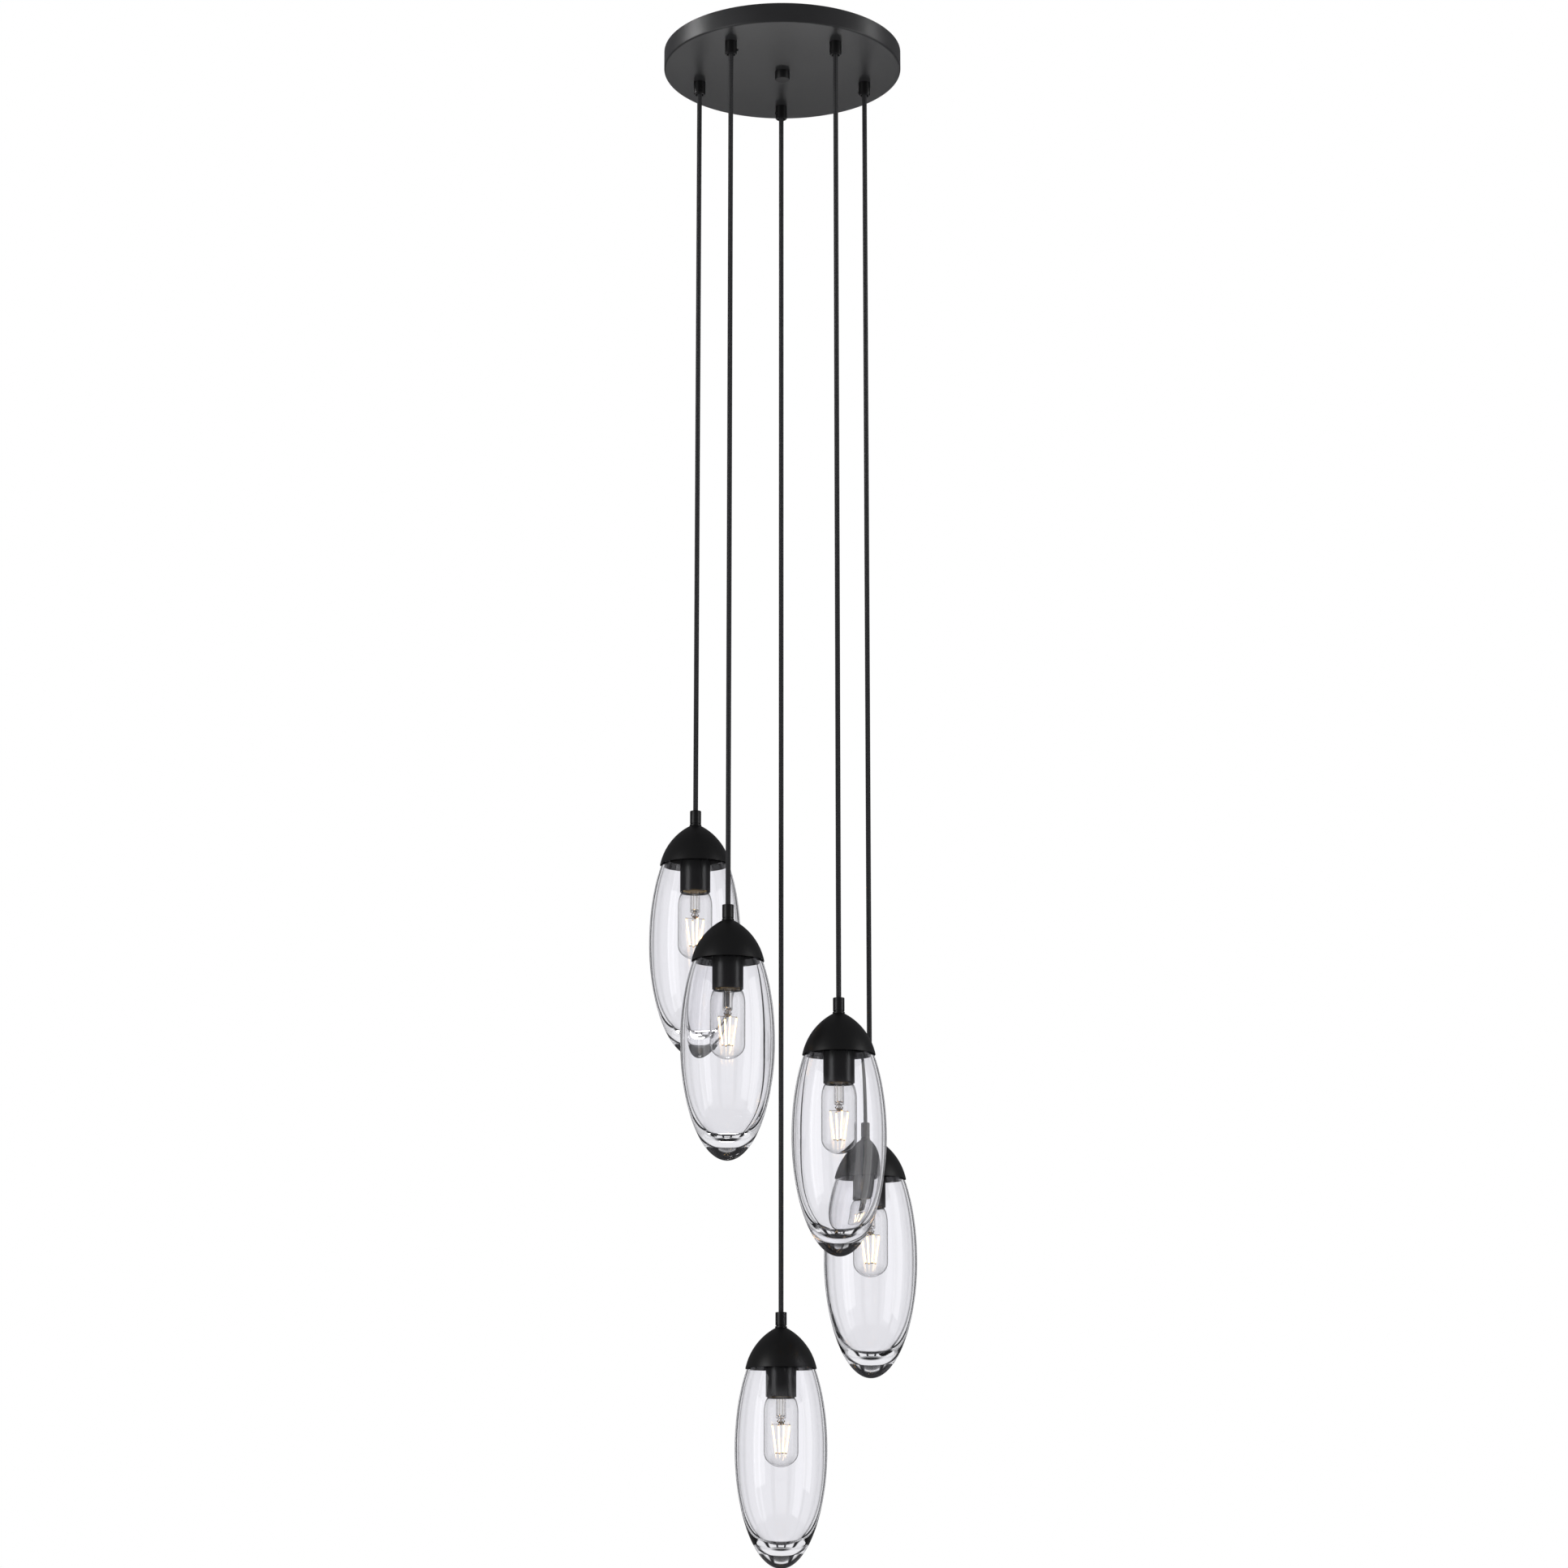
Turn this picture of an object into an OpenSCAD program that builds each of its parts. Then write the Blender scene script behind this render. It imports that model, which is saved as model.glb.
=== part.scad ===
// Five-light cluster pendant: a flat round canopy under the ceiling, five woven
// cords hanging from cord grips on a ring, and on each cord a black domed cap
// with a clear egg-shaped glass shade and a clear tubular filament lamp.
// Z = 0 is the ceiling plane, +Z is up, and the canopy's axis is the Z axis.

/* [Canopy] */
// Outer diameter of the canopy
canopy_d = 325; // [300:1:360]
// Height of the canopy below the ceiling
canopy_h = 27; // [25:0.5:40]
// Sheet thickness of the canopy
canopy_t = 1.2; // [0.8:0.1:2]
// Outer radius of the rounded lower edge
canopy_edge_r = 2.4; // [2.1:0.1:6]
// Radius of the ring that the cord grips stand on
grip_ring_r = 120; // [110:1:135]

/* [Ceiling fixing] */
// Length of the mounting bar
bar_l = 112; // [108:1:130]
// Width of the mounting bar
bar_w = 20; // [16:1:26]
// Thickness of the mounting bar
bar_t = 2; // [1.5:0.1:3]
// Centre distance of the two ceiling-box slots
slot_pitch = 79.4; // [76:0.1:84]
// End-to-end length of each slot
slot_l = 14.4; // [10:0.1:18]
// Width of each slot
slot_w = 4.8; // [4.2:0.1:6]
// Thread diameter of the centre stud
stud_d = 9.7; // [8:0.1:12]
// Width across flats of the stud's lock nut
stud_nut_af = 14; // [13.6:0.1:18]
// Thickness of the stud's lock nut
stud_nut_h = 3; // [2:0.1:4]
// Diameter of the round nut that holds the canopy up
centre_nut_d = 20; // [16:0.5:28]
// Height of the round nut
centre_nut_h = 12; // [10:0.5:18]
// Thread length of the centre stud inside the round nut
stud_bite = 8; // [5:0.5:9]
// Pilot hole of the earth screw in the mounting bar
earth_hole_d = 4.4; // [3.4:0.1:5]
// Distance of the earth screw from the bar's centre
earth_x = 22; // [18:0.5:26]

/* [Cord grips] */
// Outer diameter of a cord grip
grip_d = 16; // [14:0.1:18]
// Length of a cord grip below the canopy
grip_l = 18.5; // [16:0.5:30]
// Bevel on the grip's lower rim
grip_bevel = 1; // [0.4:0.1:1.4]
// Thread diameter of the grip's stem
grip_stem_d = 9.8; // [9:0.1:11]
// Length of the stem above the canopy sheet
grip_stem_l = 7.5; // [5:0.5:9]
// Width across flats of the grip's nut
grip_nut_af = 14; // [13:0.1:17]
// Thickness of the grip's nut
grip_nut_h = 3; // [2:0.1:4]
// Mouth diameter of the flared cord hole
grip_mouth_d = 11.2; // [10:0.1:12]
// Depth of the flare in the grip's mouth
grip_mouth_depth = 4.5; // [3.5:0.1:6]
// Thread diameter of the set screw that pinches the cord
set_screw_d = 3.2; // [2:0.1:3.5]
// Height of the set screw above the grip's lower rim
set_screw_rise = 6.6; // [6.4:0.1:9]
// Distance that the set screw's head stands out of the grip
set_screw_proud = 1.8; // [0.5:0.1:3]

/* [Cords] */
// Diameter of the woven cord
cord_d = 6.5; // [5:0.1:6.6]
// Pendant 1: depth of its cap rim below the ceiling
drop_1 = 1134; // [900:1:1300]
// Pendant 2: depth of its cap rim below the ceiling
drop_2 = 1286; // [900:1:1500]
// Pendant 3: depth of its cap rim below the ceiling
drop_3 = 1406; // [900:1:1700]
// Pendant 4: depth of its cap rim below the ceiling
drop_4 = 1548; // [900:1:1800]
// Pendant 5: depth of its cap rim below the ceiling
drop_5 = 1785; // [900:1:2000]

/* [Coupler] */
// Diameter of the coupler on the cap
coupler_d = 14.8; // [13:0.1:15.6]
// Height of the coupler
coupler_h = 20.5; // [19.5:0.5:30]
// Diameter of the coupler's base ring
coupler_ring_d = 15.6; // [13.5:0.1:16]
// Height of the base ring
coupler_ring_h = 2.4; // [1.6:0.1:4]
// Width of the groove above the base ring
coupler_groove_w = 1; // [0.6:0.1:2]
// Depth of the groove above the base ring
coupler_groove_depth = 0.9; // [0.4:0.1:1.2]
// Depth that the cord goes into the coupler
cord_seat = 8; // [5:0.5:9]

/* [Cap] */
// Rim diameter of the domed cap
cap_rim_d = 93.2; // [88:0.1:98]
// Height of the domed cap
cap_h = 52.5; // [46:0.5:60]
// Diameter of the flat on top of the cap
cap_top_d = 16; // [16:0.1:20]
// Radius of the arc that the dome is spun from
cap_arc_r = 77; // [65:1:100]
// Wall thickness of the cap
cap_t = 1.2; // [0.8:0.1:1.6]
// Diameter of the three locking pegs inside the cap
peg_d = 3; // [2:0.1:3.4]
// Height of the locking pegs above the cap rim
peg_rise = 18; // [17.4:0.1:19]

/* [Socket cup] */
// Outer diameter of the socket cup
cup_d = 39.7; // [38.5:0.1:42]
// Depth of the cup's mouth below the cap rim
cup_drop = 36.6; // [32:0.1:38]
// Height of the cup's top above the cap rim
cup_rise = 24; // [20:0.5:28]
// Wall thickness of the cup
cup_t = 1.2; // [0.8:0.1:1.6]
// Thread diameter of the hollow stem that carries the cup
cup_stem_d = 9.8; // [8.5:0.1:10]
// Bore of the hollow stem
cup_stem_bore = 6.4; // [5:0.1:7]
// Thread length of the stem inside the coupler
cup_stem_bite = 7; // [5:0.5:7.5]
// Depth of the lampholder inside the cup's mouth
holder_inset = 4.6; // [3.5:0.1:6]
// Bore of the lampholder's screw shell
holder_bore_d = 27; // [26.8:0.1:28]

/* [Glass shade] */
// Largest diameter of the egg-shaped shade
shade_d = 120; // [112:1:126]
// Depth of the shade's tip below the cap rim
shade_drop = 254.4; // [230:0.1:280]
// Height of the shade's mouth above the cap rim
shade_neck = 12; // [10:0.1:12.8]
// Gap between the shade's neck and the cap
shade_gap = 0.8; // [0.6:0.1:1.4]
// Wall of the shade at its widest
shade_wall = 4; // [3:0.1:6]
// Solid glass under the hollow of the shade
shade_floor = 24; // [18:0.2:36]
// Fullness of the hollow's lower half, where 2 is an ellipse
hollow_fullness = 2.3; // [2:0.1:2.6]
// Wall of the shade at its mouth
shade_mouth_wall = 3.7; // [3:0.1:4.5]

/* [Shade ring] */
// Sheet thickness of the ring bonded to the shade's mouth
ring_t = 1.2; // [0.8:0.1:1.4]
// Depth of the ring's skirt inside the mouth
ring_skirt = 6; // [4:0.1:8]
// Height of the three locking tabs above the ring
tab_h = 8.6; // [8.2:0.1:9]
// Angle that each tab spans
tab_angle = 24; // [20:1:30]
// Width of the slot that the peg enters
tab_slot_w = 4; // [3.8:0.1:4.6]
// Length of the side leg that the peg turns into
tab_leg = 4; // [3:0.1:4.5]

/* [Lamp] */
// Diameter of the tubular lamp glass
lamp_d = 45; // [38:0.5:50]
// Depth of the lamp's end below the cap rim
lamp_drop = 125.5; // [112:0.5:140]
// Depth of the lamp's round end
lamp_end_h = 19; // [12:0.5:24]
// Height of the round shoulder between the neck and the tube
lamp_shoulder_h = 21; // [14:0.5:24]
// Diameter of the lamp's neck
lamp_neck_d = 28.8; // [27:0.1:32]
// Thickness of the lamp's glass
lamp_t = 0.8; // [0.6:0.1:1.2]
// Diameter of the lamp's screw base
base_d = 26.4; // [25.8:0.1:26.6]
// Length of the lamp's screw base
base_h = 24; // [21:0.5:25]
// Height of the base's collar and cone, that stay below the lampholder
base_collar_h = 3; // [2:0.1:4]
// Diameter of the glass stem inside the lamp
glass_stem_d = 12.6; // [9:0.1:14]
// Length of the glass stem inside the lamp
glass_stem_h = 29; // [20:0.5:32]
// Diameter of one filament rod
filament_d = 2.2; // [1.2:0.1:2.6]
// Length of the filaments along the lamp's axis
filament_h = 35; // [28:0.5:42]
// Gap from the glass stem's tip to the top of the filaments
filament_gap = 8.5; // [5:0.5:10]
// Spread of the filaments at their top
filament_top_spread = 24; // [16:0.5:28]
// Spread of the filaments at their lower end
filament_low_spread = 14; // [10:0.5:20]

/* [Wiring in the canopy] */
// Length of the terminal block
block_l = 46; // [40:1:60]
// Width of the terminal block
block_w = 20; // [16:1:24]
// Height of the terminal block
block_h = 12; // [10:0.5:14]
// Distance of the terminal block from the canopy's axis
block_y = 46; // [42:1:52]
// Height of the cord leads' run above the canopy sheet
lead_rise = 17.2; // [15:0.1:18]

/* [Hidden] */
$fn = 96;

// Radial play of a thread in its nut or hole
thread_gap = 0.1;
// Play round a piece that slides or is pushed in
slide_gap = 0.3;
// Small overrun of a cutting tool past the face that it opens
over = 1;
// Small bevel on every turned edge that has no bevel of its own
edge_break = 0.3;
// Empty depth of a blind thread past the end of its screw
thread_runout = 1;
// Angle of each pendant round the canopy, seen from below the nearest is at 270
pendant_angles = [162, 234, 306, 18, 90];
pendant_drops = [drop_1, drop_2, drop_3, drop_4, drop_5];
pendants = [0 : 4];
// Number of straight steps that stand for each spun curve
dome_steps = 24;
egg_steps = 40;
neck_steps = 14;
bowl_steps = 26;

canopy_floor_z = -canopy_h + canopy_t;
grip_low_z = -canopy_h - grip_l;
// Radial play of the cord in its grip and in its coupler
cord_gap = 0.2;
cord_hole_r = cord_d / 2 + cord_gap;
// The cord starts a little way up the grip's flared mouth, where it pivots
cord_top_rise = 2;
cord_top_z = grip_low_z + cord_top_rise;
// Clearance over the cord's top edge while it swings
lead_gap = 0.8;
// Direction of each set screw, counted from the way outward
set_screw_turn = 126;
// Direction of each lamp's first filament rod, counted from +X
filament_turn = 17;

// A hole for something that a set screw or a thread fills
function hole_r(d) = d / 2 + thread_gap;

// Dome of the cap: an arc from the rim to the flat top
function arc_centre(p, q, r) =
  let (m = (p + q) / 2, d = q - p, h = sqrt(r * r - d * d / 4) / norm(d))
  m + h * [-d.y, d.x];
cap_rim = [cap_rim_d / 2, 0];
cap_top = [cap_top_d / 2, cap_h];
cap_c = arc_centre(cap_rim, cap_top, cap_arc_r);
function dome_r(z, inset = 0) =
  cap_c.x + sqrt(pow(cap_arc_r - inset, 2) - pow(z - cap_c.y, 2));
cap_inner_top = cap_h - cap_t;
cap_inner_top_r = dome_r(cap_inner_top, cap_t);
cap_hole_r = hole_r(cup_stem_d);

// Egg of the shade: an ellipse through the neck, the widest ring and the tip
function ellipse_r(z, a, c, z0) = a * sqrt(max(0, 1 - pow((z - z0) / c, 2)));
neck_r = cap_rim_d / 2 - cap_t - shade_gap;
neck_share = sqrt(1 - pow(2 * neck_r / shade_d, 2));
egg_c = shade_drop / (1 + neck_share);
egg_z = egg_c - shade_drop;
// Hollow of the shade: as wide as the egg allows at its widest ring, half an
// ellipse from there up to the mouth, and a fuller bowl down to the solid floor
mouth_r = ellipse_r(shade_neck, shade_d / 2, egg_c, egg_z) - shade_mouth_wall;
hollow_a = shade_d / 2 - shade_wall;
hollow_up = (shade_neck - egg_z) / sqrt(1 - pow(mouth_r / hollow_a, 2));
hollow_down = egg_c - shade_floor;
function bowl_point(a) = [
  hollow_a * pow(cos(a), 2 / hollow_fullness),
  egg_z - hollow_down * pow(sin(a), 2 / hollow_fullness)
];

// Shade ring: its tabs stand on the skirt and pass between the cap's pegs
ring_out_r = mouth_r - slide_gap;
ring_in_r = ring_out_r - ring_t;
ring_top_z = shade_neck + ring_t;
ring_flange_inset = 1.4;
ring_flange_r = ellipse_r(shade_neck, shade_d / 2, egg_c, egg_z) - ring_flange_inset;
// Length of a peg's tip inside the ring, and its depth in the cap's wall
peg_reach = 1;
peg_root = 0.8;
peg_in_r = ring_in_r - peg_reach;
peg_out_r = dome_r(peg_rise + peg_d / 2, cap_t) + peg_root;

// Lamp: levels measured from the cap rim
cup_mouth_z = -cup_drop;
holder_low_z = cup_mouth_z + holder_inset;
base_low_z = holder_low_z - thread_gap - base_collar_h;
base_top_z = base_low_z + base_h;
contact_h = 3;
// Straight collar of the lamp's glass above its shoulder
lamp_collar_h = 0.6;
glass_stem_low_z = base_low_z - glass_stem_h;
filament_top_z = glass_stem_low_z - filament_gap;
filament_low_z = filament_top_z - filament_h;

// Route of each cord lead inside the canopy: up out of its grip, over in a
// round bend towards the canopy's axis, then by hand-chosen points to a port
lead_z = canopy_floor_z + lead_rise;
lead_bend_r = 9;
lead_bend_step = 22.5;
lead_sides = 8;
// Last points before a port: distance from it, and share of the way up to the run
lead_ends = [[22, 0.9], [14, 0.35], [7, 0], [0, 0]];
// Sideways place of the two ports in the block's front
front_port_x = 12;
port_z = canopy_floor_z + block_h / 2;
lead_ports = [
  [-block_l / 2, block_y, port_z], [-front_port_x, block_y - block_w / 2, port_z],
  [front_port_x, block_y - block_w / 2, port_z], [block_l / 2, block_y, port_z],
  [0, block_y + block_w / 2, port_z]
];
lead_entries = [[-1, 0, 0], [0, -1, 0], [0, -1, 0], [1, 0, 0], [0, 1, 0]];
lead_middles = [
  [[-70, 40, lead_z]],
  [[-44, -52, lead_z], [-24, -8, lead_z]],
  [[44, -52, lead_z], [24, -8, lead_z]],
  [[70, 40, lead_z]],
  []
];
function unit(v) = v / norm(v);
function ring_point(k) =
  grip_ring_r * [cos(pendant_angles[k]), sin(pendant_angles[k]), 0];
function lead_route(k) =
  let (
    foot = ring_point(k), port = lead_ports[k], entry = lead_entries[k],
    middle = lead_middles[k],
    first = len(middle) > 0 ? middle[0] : port,
    inward = unit([first.x - foot.x, first.y - foot.y, 0])
  )
  concat(
    [foot + [0, 0, cord_top_z + lead_gap], foot + [0, 0, lead_z - lead_bend_r]],
    [for (a = [lead_bend_step : lead_bend_step : 90])
      foot + lead_bend_r * (1 - cos(a)) * inward
        + [0, 0, lead_z - lead_bend_r + lead_bend_r * sin(a)]],
    middle,
    [for (e = lead_ends) port + e[0] * entry + [0, 0, (lead_z - port_z) * e[1]]]
  );

// Tube swept along a route, each ring square to the way through its point
function way(p, i) = unit(
  i == 0 ? p[1] - p[0]
  : i == len(p) - 1 ? p[i] - p[i - 1]
  : unit(p[i + 1] - p[i]) + unit(p[i] - p[i - 1])
);
function across(v, t) = unit(v - (v * t) * t);
function sides(p, i, start) =
  i == 0 ? [across(start, way(p, 0))]
  : let (before = sides(p, i - 1, start))
    concat(before, [across(before[i - 1], way(p, i))]);
module tube(p, r, n, start) {
  u = sides(p, len(p) - 1, start);
  points = [
    for (i = [0 : len(p) - 1])
      let (v = cross(way(p, i), u[i]))
      for (j = [0 : n - 1]) p[i] + r * (cos(360 * j / n) * u[i] + sin(360 * j / n) * v)
  ];
  last = (len(p) - 1) * n;
  faces = concat(
    [[for (j = [n - 1 : -1 : 0]) j]],
    [[for (j = [0 : n - 1]) last + j]],
    [for (i = [0 : len(p) - 2], j = [0 : n - 1])
      [i * n + j, i * n + (j + 1) % n, (i + 1) * n + j]],
    [for (i = [0 : len(p) - 2], j = [0 : n - 1])
      [i * n + (j + 1) % n, (i + 1) * n + (j + 1) % n, (i + 1) * n + j]]
  );
  polyhedron(points, faces);
}

// Puts its children at each cord grip, turned so that +X points outward
module at_grips() {
  for (k = pendants)
    rotate([0, 0, pendant_angles[k]]) translate([grip_ring_r, 0, 0]) children();
}
// Puts its children at the cap rim of pendant k, turned the same way
module at_pendant(k) {
  rotate([0, 0, pendant_angles[k]])
    translate([grip_ring_r, 0, -pendant_drops[k]]) children();
}
// Straight rod between two points
module rod(p, q, r) {
  d = q - p;
  translate(p)
    rotate([0, acos(d.z / norm(d)), atan2(d.y, d.x)])
      cylinder(h = norm(d), r = r, $fn = 24);
}

// Shallow spun pan with a rounded lower edge, drilled for the stud and grips
module canopy() {
  outer_r = canopy_d / 2;
  inner_edge_r = canopy_edge_r - canopy_t;
  edge_c = [outer_r - canopy_edge_r, -canopy_h + canopy_edge_r];
  color("#333336") difference() {
    rotate_extrude($fn = 192) polygon(concat(
      [[outer_r - canopy_t, 0], [outer_r, 0]],
      [for (a = [0 : -15 : -90]) edge_c + canopy_edge_r * [cos(a), sin(a)]],
      [[0, -canopy_h], [0, canopy_floor_z]],
      [for (a = [-90 : 15 : 0]) edge_c + inner_edge_r * [cos(a), sin(a)]]
    ));
    translate([0, 0, -canopy_h - over])
      cylinder(h = canopy_t + 2 * over, r = hole_r(stud_d));
    at_grips() translate([0, 0, -canopy_h - over])
      cylinder(h = canopy_t + 2 * over, r = hole_r(grip_stem_d));
  }
}

// Flat steel bar with round ends, two box slots, stud hole and earth hole
module mounting_bar() {
  color("#b9bcc0") difference() {
    union() {
      translate([-bar_l / 2 + bar_w / 2, -bar_w / 2, -bar_t])
        cube([bar_l - bar_w, bar_w, bar_t]);
      for (s = [-1, 1])
        translate([s * (bar_l - bar_w) / 2, 0, -bar_t]) cylinder(h = bar_t, d = bar_w);
    }
    for (s = [-1, 1]) {
      translate([s * slot_pitch / 2 - (slot_l - slot_w) / 2, -slot_w / 2, -bar_t - over])
        cube([slot_l - slot_w, slot_w, bar_t + 2 * over]);
      for (e = [-1, 1])
        translate([s * slot_pitch / 2 + e * (slot_l - slot_w) / 2, 0, -bar_t - over])
          cylinder(h = bar_t + 2 * over, d = slot_w);
    }
    translate([0, 0, -bar_t - over]) cylinder(h = bar_t + 2 * over, r = hole_r(stud_d));
    translate([earth_x, 0, -bar_t - over])
      cylinder(h = bar_t + 2 * over, d = earth_hole_d);
  }
}

// Threaded tube from the mounting bar down into the round nut
module centre_stud() {
  ceiling_gap = 0.2;
  wall = 1.6;
  top_z = -ceiling_gap;
  low_z = -canopy_h - stud_bite;
  color("#b9bcc0") difference() {
    translate([0, 0, low_z]) cylinder(h = top_z - low_z, d = stud_d);
    translate([0, 0, low_z - over])
      cylinder(h = top_z - low_z + 2 * over, r = stud_d / 2 - wall);
  }
}

// Hexagon nut: flat to flat size, thickness and thread
module hex_nut(af, h, thread_d) {
  difference() {
    cylinder(h = h, d = af / cos(30), $fn = 6);
    translate([0, 0, -over]) cylinder(h = h + 2 * over, r = hole_r(thread_d));
  }
}

// Lock nut that clamps the stud under the mounting bar
module stud_nut() {
  color("#b9bcc0") translate([0, 0, -bar_t - stud_nut_h])
    hex_nut(stud_nut_af, stud_nut_h, stud_d);
}

// Round black nut with a fine bevel, blind thread up its middle
module centre_nut() {
  bevel = 0.6;
  r = centre_nut_d / 2;
  color("#2b2b2d") translate([0, 0, -canopy_h - centre_nut_h]) difference() {
    rotate_extrude() polygon([
      [0, 0], [r - bevel, 0], [r, bevel], [r, centre_nut_h - edge_break],
      [r - edge_break, centre_nut_h], [0, centre_nut_h]
    ]);
    translate([0, 0, centre_nut_h - stud_bite - thread_runout])
      cylinder(h = stud_bite + thread_runout + over, r = hole_r(stud_d));
  }
}

// Turned grips: threaded stem, bevelled lower rim and a flared cord hole
module cord_grips() {
  r = grip_d / 2;
  stem_top_z = canopy_floor_z + grip_stem_l;
  color("#262628") at_grips() difference() {
    union() {
      translate([0, 0, grip_low_z]) rotate_extrude() polygon([
        [0, 0], [r - grip_bevel, 0], [r, grip_bevel], [r, grip_l - edge_break],
        [r - edge_break, grip_l], [0, grip_l]
      ]);
      translate([0, 0, -canopy_h - over])
        cylinder(h = stem_top_z + canopy_h + over, d = grip_stem_d);
    }
    translate([0, 0, grip_low_z - over])
      cylinder(h = stem_top_z - grip_low_z + 2 * over, r = cord_hole_r);
    translate([0, 0, grip_low_z]) rotate_extrude() polygon([
      [0, -over], [grip_mouth_d / 2, -over], [grip_mouth_d / 2, 0],
      [cord_hole_r, grip_mouth_depth], [0, grip_mouth_depth]
    ]);
    translate([0, 0, grip_low_z + set_screw_rise]) rotate([0, 90, set_screw_turn])
      cylinder(h = grip_d, r = hole_r(set_screw_d), $fn = 32);
  }
}

// Hexagon nuts that hold the grips from inside the canopy
module grip_nuts() {
  color("#b9bcc0") at_grips() translate([0, 0, canopy_floor_z])
    hex_nut(grip_nut_af, grip_nut_h, grip_stem_d);
}

// Set screws that pinch the cords, each with its end just clear of the cord
module grip_screws() {
  tip_r = cord_hole_r + thread_gap;
  color("#1d1d1f") at_grips()
    translate([0, 0, grip_low_z + set_screw_rise]) rotate([0, 90, set_screw_turn])
      translate([0, 0, tip_r])
        cylinder(h = grip_d / 2 + set_screw_proud - tip_r, d = set_screw_d, $fn = 32);
}

// Moulded terminal block with a foot, a row of screw wells and wire ports
module terminal_block() {
  wells = 4;
  well_r = 2.2;
  well_depth = 4;
  well_pitch = block_l / (wells + 0.5);
  ledge_h = block_h * 0.7;
  ledge_x = 2;
  ledge_y = 3;
  color("#e8e6df") translate([0, block_y, canopy_floor_z]) difference() {
    union() {
      translate([-block_l / 2, -block_w / 2, 0]) cube([block_l, block_w, ledge_h]);
      translate([-block_l / 2 + ledge_x, -block_w / 2 + ledge_y, 0])
        cube([block_l - 2 * ledge_x, block_w - 2 * ledge_y, block_h]);
    }
    for (i = [0 : wells - 1])
      translate([(i - (wells - 1) / 2) * well_pitch, 0, block_h - well_depth])
        cylinder(h = well_depth + over, r = well_r, $fn = 32);
  }
}

// Cord ends inside the canopy, from the grips to the terminal block
module canopy_leads() {
  color("#2c2c2f") for (k = pendants)
    tube(
      lead_route(k), cord_d / 2, lead_sides,
      [-sin(pendant_angles[k]), cos(pendant_angles[k]), 0]
    );
}

// Free stretch of woven cord from the grip's mouth down into the coupler
module cord(k) {
  low_z = cap_h + coupler_h - cord_seat - pendant_drops[k];
  color("#2c2c2f") rotate([0, 0, pendant_angles[k]])
    translate([grip_ring_r, 0, low_z])
      cylinder(h = cord_top_z - low_z, d = cord_d, $fn = 48);
}

// Turned coupler: base ring and groove, cord seat above, stem thread below
module coupler(k) {
  r = coupler_d / 2;
  ring_r = coupler_ring_d / 2;
  groove_z = coupler_ring_h + coupler_groove_w;
  groove_r = r - coupler_groove_depth;
  bevel = 0.5;
  wire_hole_r = cord_d / 3;
  color("#222224") at_pendant(k) translate([0, 0, cap_h]) difference() {
    rotate_extrude() polygon([
      [0, 0], [ring_r - bevel, 0], [ring_r, bevel], [ring_r, coupler_ring_h - bevel],
      [ring_r - bevel, coupler_ring_h], [groove_r, coupler_ring_h],
      [groove_r, groove_z], [r - edge_break, groove_z], [r, groove_z + edge_break],
      [r, coupler_h - bevel], [r - bevel, coupler_h], [0, coupler_h]
    ]);
    translate([0, 0, coupler_h - cord_seat])
      cylinder(h = cord_seat + over, r = cord_hole_r);
    translate([0, 0, -over])
      cylinder(h = cup_stem_bite + edge_break + over, r = hole_r(cup_stem_d));
    translate([0, 0, over]) cylinder(h = coupler_h - over, r = wire_hole_r);
  }
}

// Spun dome with a flat top, a stem hole and three locking pegs inside
module cap(k) {
  color("#1f1f21") at_pendant(k) difference() {
    union() {
      rotate_extrude($fn = 144) polygon(concat(
        [for (i = [0 : dome_steps])
          let (z = cap_h * i / dome_steps) [dome_r(z), z]],
        [[0, cap_h], [0, cap_inner_top]],
        [for (i = [dome_steps : -1 : 0])
          let (z = cap_inner_top * i / dome_steps) [dome_r(z, cap_t), z]]
      ));
      for (a = [0 : 120 : 240])
        rotate([0, 0, a]) translate([peg_in_r, 0, peg_rise]) rotate([0, 90, 0])
          cylinder(h = peg_out_r - peg_in_r, d = peg_d, $fn = 32);
    }
    translate([0, 0, cap_inner_top - over])
      cylinder(h = cap_t + 2 * over, r = cap_hole_r);
  }
}

// Drawn cup with a rounded shoulder, hung on a hollow threaded stem whose
// collar bears on the inside of the cap
module socket_cup(k) {
  r = cup_d / 2;
  shoulder = 4;
  in_shoulder = shoulder - cup_t;
  shoulder_c = [r - shoulder, cup_rise - shoulder];
  collar_h = 3;
  collar_r = cap_inner_top_r - slide_gap;
  stem_top_z = cap_h + cup_stem_bite;
  color("#222224") at_pendant(k) difference() {
    union() {
      rotate_extrude() polygon(concat(
        [[r - cup_t, cup_mouth_z], [r, cup_mouth_z]],
        [for (a = [0 : 15 : 90]) shoulder_c + shoulder * [cos(a), sin(a)]],
        [[0, cup_rise], [0, cup_rise - cup_t]],
        [for (a = [90 : -15 : 0]) shoulder_c + in_shoulder * [cos(a), sin(a)]]
      ));
      translate([0, 0, cup_rise - cup_t / 2])
        cylinder(h = stem_top_z - cup_rise + cup_t / 2, d = cup_stem_d);
      translate([0, 0, cap_inner_top - collar_h]) cylinder(h = collar_h, r = collar_r);
    }
    translate([0, 0, cup_rise - cup_t - over])
      cylinder(h = stem_top_z - cup_rise + cup_t + 2 * over, d = cup_stem_bore);
  }
}

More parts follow.
